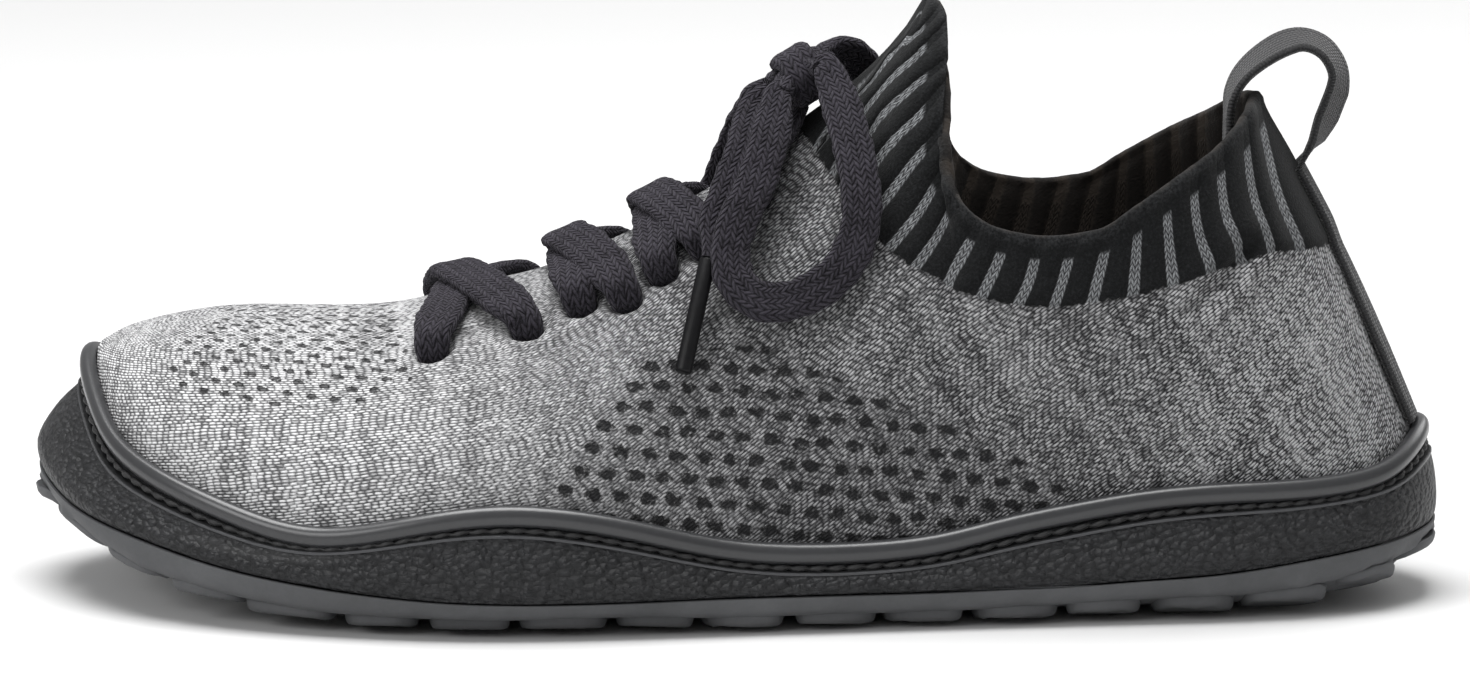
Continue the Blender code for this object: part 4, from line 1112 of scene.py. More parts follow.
def pressed(sheet, out, measured):
    """Moves every corner along its normal: the collar's step, the folds, the eyelets, the waves and the rim's roll."""
    flat = sheet.reshape(-1, 3)
    x, y, z = flat.T
    lift = COLLAR_STEP * eased(measured["band"], -0.0002, 0.0014)
    folded = np.abs(measured["crease"]) * 1000
    lift -= CREASE_DEPTH * hump(folded, 1.6)
    lift += CREASE_DEPTH * 0.45 * hump(folded - 4.2, 2.2)
    hole = measured["eyelet"] * 1000
    lift -= EYELET_SINK * (1 - eased(hole, 1.6, 3.9))
    lift += EYELET_RING * hump(hole - 5.0, 1.4)
    soft = (np.sin(x * 61 + z * 45 + 0.4) * np.sin(z * 83 - x * 27 + 1.1) + 0.6 * np.sin(x * 148 - z * 96 + 2.0))
    lift += WAVE_DEPTH * soft * eased(z, 0.02, 0.05) * eased(measured["edge"], 0.0, 0.02)
    pull = PULL_DEPTH * hump(x + 0.048 + 0.35 * (z - 0.05), 0.010) * eased(z, 0.036, 0.058)
    lift += pull * np.where(np.abs(y - 0.004) < 0.024, 1, 0.4)
    rolled = hump(measured["edge"] * 1000, 2.6)
    waves = (np.sin(x * 1900 + z * 700) + np.sin(x * 1130 - z * 1500 + y * 300)) * RIM_WAVE * rolled
    moved = flat + out.reshape(-1, 3) * (lift + RIM_ROLL * rolled + waves)[:, None]
    return moved.reshape(sheet.shape)


outer = pressed(sheet, out_at, measures)
print("pressed:", outer.shape)

# %% Give it a wall and a rounded rim
def wall_thickness(outer):
    """The knit is 2.2 mm thick, and thinner at the peak of the tongue, where its two sides meet."""
    x, y, z = np.moveaxis(outer, 2, 0)
    tongue = eased(z, 0.072, 0.092) * (1 - eased(x, 0.045, 0.055))
    thin = np.minimum(KNIT_WALL, 0.0009 + 0.45 * np.abs(y - outer[PEAK, -1, 1]))
    return (KNIT_WALL * (1 - tongue) + thin * tongue)[..., None]


def walled(outer, out):
    """Every section as one closed loop, and the column of the outer face that each of its points belongs to."""
    wall = wall_thickness(outer)
    inner = outer - out * wall
    up = outer[:, -1] - outer[:, -3]
    up[PEAK] = up[-1 - PEAK] = up[PEAK] + up[-1 - PEAK]
    up = units(up)
    middle = (outer[:, -1] + inner[:, -1]) / 2
    half = wall[:, -1] / 2
    turns = np.linspace(0, math.pi, RIM_STEPS + 2)[1:-1]
    rim = [middle + out[:, -1] * half * math.cos(turn) + up * half * 0.75 * math.sin(turn) for turn in turns]
    last = outer.shape[1] - 1
    column = np.concatenate([np.arange(last + 1), np.full(RIM_STEPS, last), np.arange(last, -1, -1), [0]])
    inside = np.concatenate([np.zeros(last + 1), np.linspace(0, 1, RIM_STEPS + 2)[1:-1], np.ones(last + 1), [0]])
    return np.concatenate([outer, np.stack(rim, axis=1), inner[:, ::-1], outer[:, :1]], axis=1), column, inside


def open_ridge(piece, i, j):
    """Takes away the rim's faces in front of the peak, where the two sides are one knit."""
    corners = read(piece.data.loops, "vertex_index", int).reshape(-1, 4)
    rows, columns = i[corners], j[corners]
    first = SKIRT + RISES - 1
    on_rim = (columns.min(axis=1) >= first) & (columns.max(axis=1) <= first + RIM_STEPS + 1)
    in_front = (rows.max(axis=1) <= PEAK) | (rows.min(axis=1) >= len(stations) - 1 - PEAK)
    edit(piece, "DESELECT")
    bpy.ops.mesh.select_mode(type="FACE")
    bpy.ops.object.mode_set(mode="OBJECT")
    piece.data.polygons.foreach_set("select", on_rim & in_front)
    bpy.ops.object.mode_set(mode="EDIT")
    bpy.ops.mesh.delete(type="FACE")
    bpy.ops.mesh.select_mode(type="VERT")
    bpy.ops.object.mode_set(mode="OBJECT")


loops, column, inside = walled(outer, out_at)
knit, knit_i, knit_j = grown("knit_upper", loops, cloth[:, column])
for name, values in measures.items():
    mark(knit, name, values.reshape(sheet.shape[:2])[:, column][knit_i, knit_j])
mark(knit, "inside", inside[knit_j])
open_ridge(knit, knit_i, knit_j)
close_up(knit, MERGE_FINE)
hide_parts("upper")
print("upper:", len(knit.data.polygons), "faces")

# %% [markdown]
# ## The melange knit
# The yarn is spun from light and dark fibres, so every stitch has its own grey. Over the toes the stitches lie almost
# level. Behind the eyelets they climb towards the heel. Two lattices of small holes are knitted in, above the toes
# and along the side, and the black collar carries narrow grey ribs, two stitches wide.

# %% Melange dashes
def dashes(finish, u, v, angle, long, thick):
    """Slanted stitches: their height, and one random number for each."""
    turn = math.radians(angle)
    along = u * math.cos(turn) + v * math.sin(turn)
    aside = v * math.cos(turn) - u * math.sin(turn)
    line = aside / thick
    row = line.math("FLOOR")
    length = along / long + finish.chance(row, 3.7) * 3.0
    over, end = line.share(), length.share()
    height = (1 - over * over * 3.9) * (1 - end * end * 3.4)
    return height, finish.chance(row, length.math("FLOOR"))


def lattice(finish, u, v, pitch, row_pitch, wide, high):
    """A staggered lattice of holes: 1 in a hole, 0 between."""
    rows = v / row_pitch
    number = rows.math("FLOOR")
    place = u / pitch + number * 0.5
    shift = (finish.chance(number, place.math("FLOOR")) - 0.5) * 0.16
    dx = (place.share() + shift) * (pitch / wide)
    dy = (rows.share() - shift) * (row_pitch / high)
    ragged = (finish.noise(finish.place(), 1000.0, 2.0) - 0.5) * 5.0
    return 1 - (dx * dx + dy * dy + ragged).smooth(0.5, 1.7)


print("dash and lattice helpers ready")

# %% The knit's finish
TONGUE_MIDDLE = float(outer[PEAK, -1, 1])


def knit_finish():
    """Melange, holes, collar, ribs, seam, eyelets and inside as one material, in that order."""
    finish = Finish("melange knit", Roughness=0.92, Sheen_Weight=0.05, Sheen_Roughness=0.6, Specular_IOR_Level=0.12)
    place = finish.place()
    x, y, z = finish.parts(place)
    flat_u, flat_v = finish.cloth()
    u = flat_u + (finish.noise(place, 130.0, 2.0) - 0.5) * 0.0009
    v = flat_v + (finish.noise(place, 170.0, 1.0) - 0.5) * 0.0006
    back = (x + z * 0.25).smooth(-0.072, 0.020)

    def by_place(level, climbing):
        """Over the toes the first, behind the eyelets the second."""
        return level * (1 - back) + climbing * back

    def strands(a, b, c, d, detail=2.0, roughness=0.5):
        return finish.noise(finish.point(u * a + v * b, v * c - u * d), 1.0, detail, roughness)

    flat_stitch = dashes(finish, u, v, 9.0, 0.00160, 0.00060)
    climb_stitch = dashes(finish, u, v, 38.0, 0.00165, 0.00058)
    height, chance = (by_place(*pair) for pair in zip(flat_stitch, climb_stitch))
    fibre = by_place(strands(900, 130, 3000, 420, 3.0, 0.6), strands(720, 560, 2300, 1800, 3.0, 0.6))
    streak = by_place(strands(330, 0, 24, 0), strands(250, 150, -20, -12))
    cloud = finish.noise(place, 55.0, 2.0)

    light = height * (0.34 + chance * 0.56) - 0.03 + (fibre - 0.5) * (back * 0.3 + 0.8)
    light = light + (streak - 0.5) * 0.55 + (cloud - 0.5) * 0.16
    level = 0.95 - back * 0.29 + x.smooth(0.06, 0.115) * 0.42
    dark_grey = finish.blend(back, (0.085, 0.085, 0.088), (0.020, 0.020, 0.022))
    pale_grey = finish.blend(back, (0.76, 0.76, 0.77), (0.46, 0.46, 0.47))
    melange = finish.blend((light * level).smooth(-0.04, 0.64), dark_grey, pale_grey)

    side_hole = lattice(finish, u + 0.0011, v + u * 0.11, 0.0052, 0.0044, 0.00142, 0.00098)
    side_hole = side_hole * finish.attribute("holes").smooth(0.35, 0.65)
    toe_hole = lattice(finish, u, v + u * 0.06, 0.0051, 0.0031, 0.00098, 0.00060)
    toe_hole = toe_hole * finish.attribute("toes").smooth(0.35, 0.65)
    hole = side_hole.math("MAXIMUM", toe_hole * 0.92)
    darkened = finish.attribute("holes") * 0.22
    melange = finish.blend(darkened, melange, (0.035, 0.035, 0.037))
    # The holes are painted near-black where none is cut: the dark inside seen through them, partly the dark inner knit
    # and partly painted shade.
    melange = finish.blend(hole * 0.93, melange, (0.008, 0.008, 0.009))

    number = finish.attribute("rib")
    beside_rib = number - number.math("ROUND")
    nearest = beside_rib.away()
    edge = finish.attribute("edge")
    ragged = finish.noise(place, 900.0, 2.0) - 0.5
    rib = 1 - (nearest + ragged * 0.05).smooth(0.12, 0.175)
    rib = rib * edge.smooth(0.0034, 0.0044) * number.smooth(-0.6, -0.4) * (1 - number.smooth(18.3, 18.5))
    tongue_front = (1 - (y - TONGUE_MIDDLE).away().smooth(0.0035, 0.0055)) * (1 - x.smooth(0.040, 0.045))
    rib = rib * (1 - tongue_front)
    columns, rib_chance = stitches(finish, beside_rib, v, 0.17, 0.00125, 0.9)
    grey = columns * 0.8 + rib_chance * 0.22 + (fibre - 0.5) * 0.5 - 0.12
    grey = finish.blend(grey.smooth(0.0, 1.0), (0.016, 0.016, 0.018), (0.27, 0.28, 0.29))
    black_fluff = finish.noise(place, 1900.0, 3.0, 0.65)
    black = finish.blend(black_fluff.smooth(0.35, 0.85), (0.0030, 0.0033, 0.0036), (0.0150, 0.0158, 0.0170))
    # Painted highlight: the black knit is painted lighter in a thin line along the collar's rolled rim.
    lip = (1 - edge.smooth(0.0006, 0.0019)) * black_fluff.smooth(0.3, 0.7)
    black = finish.blend(lip * 0.5, black, (0.035, 0.036, 0.038))
    collar = finish.blend(rib, black, grey)

    jagged = finish.noise(finish.point(u * 700, v * 700), 1.0, 1.0)
    in_band = (finish.attribute("band") + (jagged - 0.5) * 0.0016).smooth(-0.0002, 0.0003)
    outside = finish.blend(in_band, melange, collar)
    seam = finish.attribute("seam") + (fibre - 0.5) * 0.0005
    outside = finish.blend((1 - seam.smooth(0.0001, 0.0005)) * 0.8, outside, (0.012, 0.012, 0.013))
    # Painted near-black at each eyelet, where no hole is cut: the hole's dark inside, partly the dark inner knit and
    # partly painted shade.
    eyelet = 1 - (finish.attribute("eyelet") + ragged * 0.0012).smooth(0.0022, 0.0030)
    outside = finish.blend(eyelet, outside, (0.004, 0.004, 0.005))

    inner_rib = 1 - (nearest + ragged * 0.3).smooth(0.1, 0.3)
    inner = finish.blend(inner_rib * 0.5 + black_fluff * 0.3, (0.006, 0.0052, 0.005), (0.050, 0.040, 0.032))
    finish.feed("Base Color", finish.blend(finish.attribute("inside"), outside, inner))

    between_ribs = (nearest - 0.5) / 0.36
    plump = 1 - between_ribs * between_ribs
    knit_relief = height * 0.5 * (1 - in_band) + in_band * (plump.math("MAXIMUM", 0.0) * 1.5 + columns * rib * 0.5)
    knit_relief = knit_relief + fibre * 0.35 - hole * 1.8 + black_fluff * in_band * 0.35
    cable = finish.noise(finish.point(u * 190, v * 230), 1.0, 1.0) * finish.attribute("holes")
    finish.bump(knit_relief + cable * 1.5, 0.00055)
    return finish


melange_knit = knit_finish()
wear(knit, melange_knit)
print("knit finish:", len(melange_knit.material.node_tree.nodes), "nodes")

# %% [markdown]
# ## The rubber wall
# A moulded rubber wall runs all round the shoe: a pebbled band, a deep stitched groove and a smooth round bead that
# holds the knit. It is one profile swept round the outline, so its height, lean and groove follow the same tables as
# the solid. The thread that lies in the groove is a second small sweep, waisted at every stitch.

# %% The wall's profile
BEAD_INSET = 0.0006
WALL_EDGE = 0.0003
WALL_ROWS = 253


def wall_profile(row, side):
    """Points round the wall's section as inset and height, and the part of each: 0 band, 1 lip, 2 groove, 3 bead."""
    step = ring_step(row, side)
    part = RING_PART(step) * SIDE_HEIGHT + GAP
    seam = RING_SEAM(step) * SIDE_HEIGHT
    bead = RING_BEAD(step) * SIDE_HEIGHT
    lean = RING_LEAN(step) * SIDE_HEIGHT
    leaning = lean_out(step)
    swell = smooth_run([(WALL_EDGE, 0, 0), (0, 0.3, 0), (leaning * 0.45, 0.68, 0), (leaning + 0.0003, 0.97, 0)], 12)
    points = [(inset, part + (seam - part) * rise, 0) for inset, rise, _ in swell]
    points[0] = (WALL_EDGE + 0.0003, part, 0)
    points += [(leaning + 0.0001, seam - 0.0003, 1), (leaning + 0.0001, seam + 0.0001, 1)]
    points += [(leaning + 0.0007, seam + 0.0003, 2), (leaning + GROOVE_DEPTH, seam + 0.0004, 2)]
    points += [(leaning + GROOVE_DEPTH, bead - BEAD_HEIGHT - 0.0001, 2)]
    centre = bead - BEAD_HEIGHT / 2
    half = (lean - BEAD_INSET - (leaning + BEAD_INSET)) * 0.72
    for turn in np.linspace(-80, 96, 13):
        angle = math.radians(turn)
        out = rounded(math.cos(angle), 0.85) * half
        points.append((leaning + BEAD_INSET + half - out, centre + math.sin(angle) * BEAD_HEIGHT / 2, 3))
    points += [(lean, bead - BEAD_HEIGHT * 0.2, 3), (foot_inset(step), part, 0)]
    return points


def sweep_wall():
    """The profile at every station, joined into one closed band."""
    loops, kinds, measure = [], [], []
    stations = stations_round(WALL_ROWS)
    travelled = far_along([outline(ring_step(row, side)) for row, side in stations])
    for far, (row, side) in zip(travelled, stations):
        profile = wall_profile(row, side)
        profile.append(profile[0])
        loops.append([wall_point(ring_step(row, side), inset, height) for inset, height, _ in profile])
        kinds.append([kind for _, _, kind in profile])
        measure.append([(far, around) for around in far_along([place[:2] for place in profile])])
    piece, i, j = grown("rubber_wall", loops, measure)
    kinds = np.array(kinds, float)[i, j]
    # The lip and the groove are marked for the finish, which paints a highlight on the lip and shade in the groove.
    for number, part in enumerate(("lip", "shaded_groove", "bead"), 1):
        mark(piece, part, kinds == number)
    close_up(piece, angle=50)
    return piece


wall = sweep_wall()
print("wall:", len(wall.data.polygons), "faces")

# %% The thread in the groove
STITCH = 0.0036
THREAD = 0.00048
THREAD_ROWS = 505


def groove_thread():
    """A thin round thread, thick in the middle of each stitch and thin between two."""
    steps = [ring_step(row, side) for row, side in stations_round(THREAD_ROWS)]
    travelled = far_along([outline(step) for step in steps])
    pitch = travelled[-1] / round(travelled[-1] / STITCH)
    loops = []
    for far, step in zip(travelled, steps):
        seam = RING_SEAM(step) * SIDE_HEIGHT
        bead = RING_BEAD(step) * SIDE_HEIGHT - BEAD_HEIGHT
        share = far / pitch % 1
        thick = THREAD * (0.35 + 0.75 * math.sin(math.pi * share) ** 0.5)
        depth = lean_out(step) + GROOVE_DEPTH - 0.0001 - THREAD * math.sin(math.pi * share)
        middle = (seam + bead) / 2 + 0.0002 + 0.00035 * (share - 0.5)
        loops.append([
            wall_point(step, depth + math.cos(turn) * thick, middle + math.sin(turn) * thick * 1.2)
            for turn in np.linspace(0, 2 * math.pi, 8)
        ])
    piece, _, _ = grown("groove_thread", loops)
    close_up(piece)
    return piece


thread = groove_thread()
print("thread:", len(thread.data.polygons), "faces")

# %% The rubber's finish
def moulded_rubber():
    finish = Finish("moulded rubber", Coat_Roughness=0.28, Specular_IOR_Level=0.22)
    place = finish.place()
    u, v = finish.cloth()
    bead, lip, shaded_groove = (finish.attribute(part) for part in ("bead", "lip", "shaded_groove"))
    warped = finish.noise(place, 240.0, 2.0)
    crevice_depth = finish.cells(finish.point(u * 620 + warped * 1.4, v * 940 + warped * 1.1), 1.0, "F1")
    fine = finish.noise(place, 1300.0, 3.0, 0.6)
    creased = finish.noise(place, 420.0, 3.0, 0.55)
    cloud = finish.noise(place, 30.0, 3.0)
    band = (1 - bead) * (1 - shaded_groove) * (1 - lip)
    # Painted light on the pebbled band: raised wrinkles are painted lighter and the pebble crevices darker, on top of
    # its cloudy tone.
    shade = (cloud - 0.5) * 0.3 + band * (creased * 0.3 - (crevice_depth - 0.4) * 0.4) + fine * 0.12
    # Painted light on the one rubber: a painted highlight on the lip under the groove, painted sheen on the bead, and
    # painted shade in the groove.
    shade = shade + lip * 0.9 + bead * 0.3 - shaded_groove * 0.6
    dark, pale = (0.0075, 0.0078, 0.0086), (0.052, 0.053, 0.057)
    finish.feed("Base Color", finish.blend(shade.smooth(-0.15, 0.95), dark, pale))
    finish.feed("Roughness", 0.38 + band * 0.12 + (fine - 0.5) * 0.14 + shaded_groove * 0.4 + (cloud - 0.5) * 0.1)
    finish.feed("Coat Weight", bead * 0.8 + lip * 0.3 + band * 0.12)
    finish.bump(band * (creased * 1.6 - crevice_depth * 1.2) + fine * 0.06, 0.0009)
    return finish


def bonded_thread():
    finish = Finish("bonded thread", Roughness=0.55, Sheen_Weight=0.1)
    twist = finish.noise(finish.place(), 1500.0, 2.0)
    finish.feed("Base Color", finish.blend(twist, (0.003, 0.003, 0.0035), (0.014, 0.014, 0.015)))
    finish.bump(twist, 0.0002, 0.7)
    return finish


wall_rubber = moulded_rubber()
wear(wall, wall_rubber)
wear(thread, bonded_thread())
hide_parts("sidewall")
print("rubber finish:", len(wall_rubber.material.node_tree.nodes), "nodes")

# %% [markdown]
# ## The outsole
# The outsole is a thin sheet of harder rubber with a rounded edge. Under it stand soft-edged lugs of uneven outline,
# small along the edge and larger inside, and at the toe and the heel their rounded tops climb up the edge.

# %% The sheet
EDGE_LUG_PITCH = 0.0168
EDGE_LUG_WIDTH = 0.0095
EDGE_LUG_SHARE = 0.91
INNER_LUG_SIZE = 0.0150
SOLE_EDGE_LOW = 0.0042
SOLE_EDGE_TOP = 0.0006
LUG_CLEAR = 0.001


def scallop(step):
    """The low rounded swellings along the sole's edge: 0 to 1."""
    return max(0, math.sin(step * 5.2) * 0.5 + math.sin(step * 8.7 + 1.7) * 0.3 + math.sin(step * 13.1 + 0.6) * 0.2)


def closing_tip(row):
    """1 where the sole curls up at the toe and the heel, 0 along the middle."""
    return 1 - eased(min(row, LAST - row), 2.0, 5.0)


def sole_section(row):
    """A closed section: the underside, the inner edge, the top and the outer edge."""
    under = [(*across(row, SOLE_EDGE_LOW, share)[:2], slab_bottom(row, share)) for share in np.linspace(-1, 1, 33)]
    over = [(*across(row, SOLE_EDGE_TOP, share)[:2], slab_top(row, share)) for share in np.linspace(-1, 1, 33)[::2]]
    rims = []
    for side in (1, -1):
        step = ring_step(row, side)
        low = RING_LOW(step) * SIDE_HEIGHT + LUG_DEPTH
        high = RING_PART(step) * SIDE_HEIGHT
        swollen = scallop(step) * (0.00055 + 0.0009 * closing_tip(row))
        rim = []
        for share in np.linspace(0.08, 0.97, 11):
            angle = share * math.pi / 2
            inset = SOLE_EDGE_LOW - (SOLE_EDGE_LOW - 0.0002) * math.sin(angle) ** 0.72
            swell = swollen * math.sin(math.pi * min(1, share * 1.25)) ** 2
            rim.append(edge_point(row, side, inset - swell, low + (high - low) * (1 - math.cos(angle)) ** 0.8))
        rims.append(rim)
    return [*under, *rims[0], *over[::-1], *rims[1][::-1], under[0]]


def sole_sheet():
    end = 1.5
    toe, heel = np.linspace(0, end, 22)[:-1], np.linspace(LAST - end, LAST, 22)[1:]
    rows = np.concatenate([toe, np.linspace(end, LAST - end, 200), heel])
    piece, _, _ = grown("tread_sole", [sole_section(row) for row in rows])
    close_up(piece, MERGE_FINE, 60)
    return piece


sole = sole_sheet()
print("sheet:", len(sole.data.polygons), "faces")

# %% Where the lugs stand
def lug_places():
    """Row, share across, and the half sizes of every lug: first those along the edge, then those inside."""
    places = []
    rows = np.linspace(0, LAST, 12 * LAST + 1)
    for side in (-1, 1):
        along = far_along([edge_point(row, side, SOLE_EDGE_LOW, 0)[:2] for row in rows])
        count = int(along[-1] / EDGE_LUG_PITCH)
        for i in range(count):
            row = float(np.interp((i + 0.5) / count * along[-1], along, rows))
            size = 0.415 + 0.035 * math.sin(i * 2.3 + side)
            places.append((row, side * EDGE_LUG_SHARE, EDGE_LUG_PITCH * size, EDGE_LUG_WIDTH / 2))
    room = (INNER_LUG_SIZE + max(EDGE_LUG_WIDTH, EDGE_LUG_PITCH)) / 2 + LUG_CLEAR
    taken = [(across(row, SOLE_EDGE_LOW, share)[:2], room) for row, share, _, _ in places]
    for row in np.linspace(3.0, 18.0, 11):
        for share in (-0.45, 0.0, 0.45):
            here = across(row, SOLE_EDGE_LOW, share)[:2]
            if all(np.linalg.norm(here - there) > apart for there, apart in taken):
                places.append((row, share, INNER_LUG_SIZE / 2, INNER_LUG_SIZE / 2))
                taken.append((here, INNER_LUG_SIZE + LUG_CLEAR))
    return places


places = lug_places()
print("lugs:", len(places))

# %% Model a lug at each place
LUG_FOOT = 0.93
LUG_ROOT = 1.02
LUG_SQUARE = 0.7
LUG_SUNK = 0.0011
EDGE_LUG_WIDER = 1.13


def make_lug(number, row, share, half_long, half_wide):
    """A soft-edged block of uneven outline: a short cylinder, drawn in at its foot and bevelled."""
    here = across(row, SOLE_EDGE_LOW, share)[:2]
    on_edge = abs(share) > 0.7
    reach = 0.05 if on_edge else 0.3
    before = across(max(row - reach, 0.01), SOLE_EDGE_LOW, share)[:2]
    after = across(min(row + reach, LAST - 0.01), SOLE_EDGE_LOW, share)[:2]
    turn = math.atan2(*(after - before)[::-1])
    spacing = np.linalg.norm(across(row + 0.25, SOLE_EDGE_LOW, 0) - across(row - 0.25, SOLE_EDGE_LOW, 0)) * 2
    half_across = np.linalg.norm(across(row, SOLE_EDGE_LOW, 1) - across(row, SOLE_EDGE_LOW, -1)) / 2
    depth = LUG_DEPTH * (1 - 0.45 * closing_tip(row))
    bpy.ops.mesh.primitive_cylinder_add(vertices=18, radius=1, depth=1, end_fill_type="NGON", location=(0, 0, 0))
    lug = bpy.context.object
    for corner in lug.data.vertices:
        angle = math.atan2(corner.co.y, corner.co.x)
        uneven = 1 + 0.05 * math.sin(2 * angle + number * 1.9) + 0.04 * math.sin(3 * angle + number * 2.7)
        size = uneven * (LUG_FOOT if corner.co.z < 0 else LUG_ROOT)
        x = rounded(math.cos(angle), LUG_SQUARE) * half_long * size * (EDGE_LUG_WIDER if on_edge else 1)
        y = rounded(math.sin(angle), LUG_SQUARE) * half_wide * size
        flat = here + np.array((x * math.cos(turn) - y * math.sin(turn), x * math.sin(turn) + y * math.cos(turn)))
        row_there = min(max(row + (flat[0] - here[0]) / spacing, 0), LAST)
        share_there = min(max(share + (flat[1] - here[1]) / half_across, -1), 1)
        under = slab_bottom(row_there, share_there)
        corner.co = (*flat, under - depth if corner.co.z < 0 else under + LUG_SUNK)
    soften = lug.modifiers.new("soften", "BEVEL")
    soften.width = 0.0009
    soften.segments = 3
    soften.limit_method = "ANGLE"
    soften.angle_limit = math.radians(50)
    bpy.ops.object.modifier_apply(modifier=soften.name)
    return lug


sole = join_as("tread_sole", [sole, *(make_lug(number, *place) for number, place in enumerate(places))])
smooth(sole, 60)
print("outsole:", len(sole.data.polygons), "faces")

# %% The outsole's finish
def tread_rubber():
    finish = Finish("tread rubber", Specular_IOR_Level=0.3)
    place = finish.place()
    x, _, z = finish.parts(place)
    fine = finish.noise(place, 1100.0, 3.0, 0.6)
    dust = finish.noise(place, 75.0, 4.0, 0.6)
    cloud = finish.noise(place, 22.0, 2.0)
    squashed = finish.add("ShaderNodeVectorMath", {0: place, 1: (1.0, 1.0, 1.4)}, operation="MULTIPLY").outputs[0]
    blobs = finish.cells(squashed, 74.0, "SMOOTH_F1")
    tips = (x + 0.072).smooth(0.0, -0.04) + (x - 0.09).smooth(0.0, 0.03)
    low = 1 - z.smooth(0.0003, 0.0022)
    shade = 0.42 + (dust - 0.5) * 0.35 + fine * 0.1 + (cloud - 0.5) * 0.3 + low * 0.12
    finish.feed("Base Color", finish.blend(shade.smooth(0.0, 1.0), (0.022, 0.0228, 0.0242), (0.140, 0.143, 0.149)))
    finish.feed("Roughness", 0.5 + dust * 0.22)
    finish.bump(fine * 0.1 + (1 - blobs).smooth(0.25, 0.75) * (0.25 + tips * 0.6) + dust * 0.2, 0.0009, 0.7)
    return finish


tread = tread_rubber()
wear(sole, tread)
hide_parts("outsole")
print("tread finish:", len(tread.material.node_tree.nodes), "nodes")

# %% [markdown]
# ## The insole
# A removable foam sock lies on the sole, covered with a dark felt. It is laid as a grid that follows the sole's dish,
# grows thinner towards its edge and is closed underneath.

# %% The foam sock
INSOLE_INSET = 0.0105
INSOLE_THICKNESS = 0.003
INSOLE_ROWS = (1.6, 19.6, 110)


def make_insole():
    loops = []
    for row in np.linspace(*INSOLE_ROWS):
        under, over = [], []
        for share in np.linspace(-1, 1, 25):
            x, y, _ = across(row, INSOLE_INSET, share)
            low = slab_top(row, share * 0.85) + 2 * GAP
            under.append((x, y, low))
            over.append((x, y, low + INSOLE_THICKNESS * (1 - 0.28 * eased(abs(share), 0.86, 1.0))))
        loops.append([*over, *under[::-1], over[0]])
    measure = np.array(loops)[..., :2]
    piece, _, _ = grown("foam_insole", loops, measure)
    close_up(piece, angle=50)
    return piece


def felt_cover():
    finish = Finish("felt cover", Roughness=0.95, Sheen_Weight=0.2)
    nap = finish.noise(finish.place(), 1700.0, 3.0, 0.65)
    height, chance = stitches(finish, *finish.cloth(), 0.0016, 0.0011, 0.7)
    finish.feed("Base Color", finish.blend(nap * 0.6 + chance * 0.3, (0.010, 0.010, 0.011), (0.055, 0.054, 0.056)))
    finish.bump(nap * 0.6 + height * 0.4, 0.0004, 0.8)
    return finish


insole = make_insole()
wear(insole, felt_cover())
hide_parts("insole")
print("insole:", len(insole.data.polygons), "faces")

# %% [markdown]
# ## The heel tape and its pull loop
# One strip of webbing runs up the back of the heel, and low down the knit stretches it wider. Above the collar it
# stands free, bends over into a finger loop and goes down again inside. It is swept like the lace, with a thicker
# woven edge along each side.

# %% The strip
TAPE_WIDTH = 0.0105
TAPE_THICKNESS = 0.0013
TAPE_CLEAR = 0.0002
TAPE_SPREAD = 0.42
TAPE_RISES = (0.004, 0.78)
TAPE_SHARES = np.concatenate([[-1, -0.97, -0.9, -0.82], np.linspace(-0.7, 0.7, 9), [0.82, 0.9, 0.97, 1]])
LOOP_RUN = (
    (94.9, 87.0, 0), (95.0, 92.0, 0), (95.4, 96.4, 4), (97.4, 100.4, 8), (101.0, 103.8, 12), (105.4, 106.4, 14),
    (109.4, 107.2, 12), (113.4, 105.4, 14), (115.9, 101.2, 18), (115.6, 96.4, 26), (113.9, 92.0, 26),
    (112.0, 87.6, 16),
)


def heel_across(rise, share, lift):
    """A point of the heel's back, a share of the tape's half width from its middle."""
    want = share * TAPE_WIDTH / 2 * (1 + TAPE_SPREAD * (1 - float(eased(rise, 0.25, 0.75))))
    side = -1 if want < 0 else 1
    rows = np.linspace(LAST, LAST - 3, 40)
    wides = [abs(upper_point(row, side, rise)[1]) for row in rows]
    row = min(float(np.interp(abs(want), wides, rows)), LAST - 0.01)
    return upper_point(row, side, rise) + surface_frame(row, side, max(rise, 0.03))[1] * lift


def tape_stand(share):
    """The strip's half thickness across its width: a rounded edge, a cord along it, then the flat."""
    edge = 1 - eased(abs(share), 0.9, 1.0) * 0.75
    return TAPE_THICKNESS / 2 * edge * (1 + 0.35 * math.exp(-(((abs(share) - 0.86) / 0.06) ** 2)))


def tape_ring(place):
    """Round the strip, along its back and home along its front. place(share, lift) is a point of it."""
    back = [place(share, tape_stand(share)) for share in TAPE_SHARES]
    front = [place(share, -tape_stand(share)) for share in TAPE_SHARES]
    return [*back, *front[::-1]]


def make_tape():
    """The strip up the heel, then the free loop, as one sweep."""
    loops = []
    for rise in np.linspace(*TAPE_RISES, 60):
        middle = TAPE_CLEAR + COLLAR_STEP * eased(rise, 0.52, 0.62) + TAPE_THICKNESS / 2
        loops.append(tape_ring(lambda share, lift: heel_across(rise, share, middle + lift)))
    run = smooth_run([(x * MM, z * MM, twist) for x, z, twist in LOOP_RUN[::-1]], 90)
    for i, (x, z, twist) in enumerate(run):
        ahead = ahead_at(run[:, :2], i)
        turn = math.radians(twist)
        out = np.array((ahead[1], 0.0, -ahead[0]))
        wide = LEVEL * math.cos(turn) + out * math.sin(turn)
        thick = out * math.cos(turn) - LEVEL * math.sin(turn)
        centre = np.array((x, 0.0, z))
        loops.append(tape_ring(lambda share, lift: centre + wide * share * TAPE_WIDTH / 2 + thick * lift))
    travelled = far_along([np.mean(loop, axis=0) for loop in loops])
    shares = [*TAPE_SHARES, *TAPE_SHARES[::-1], TAPE_SHARES[0]]
    measure = [[(far, share * TAPE_WIDTH / 2) for share in shares] for far in travelled]
    piece, i, j = grown("pull_tape", [loop + loop[:1] for loop in loops], measure)
    mark(piece, "edge", np.abs(shares)[j])
    close_up(piece, angle=70)
    return piece


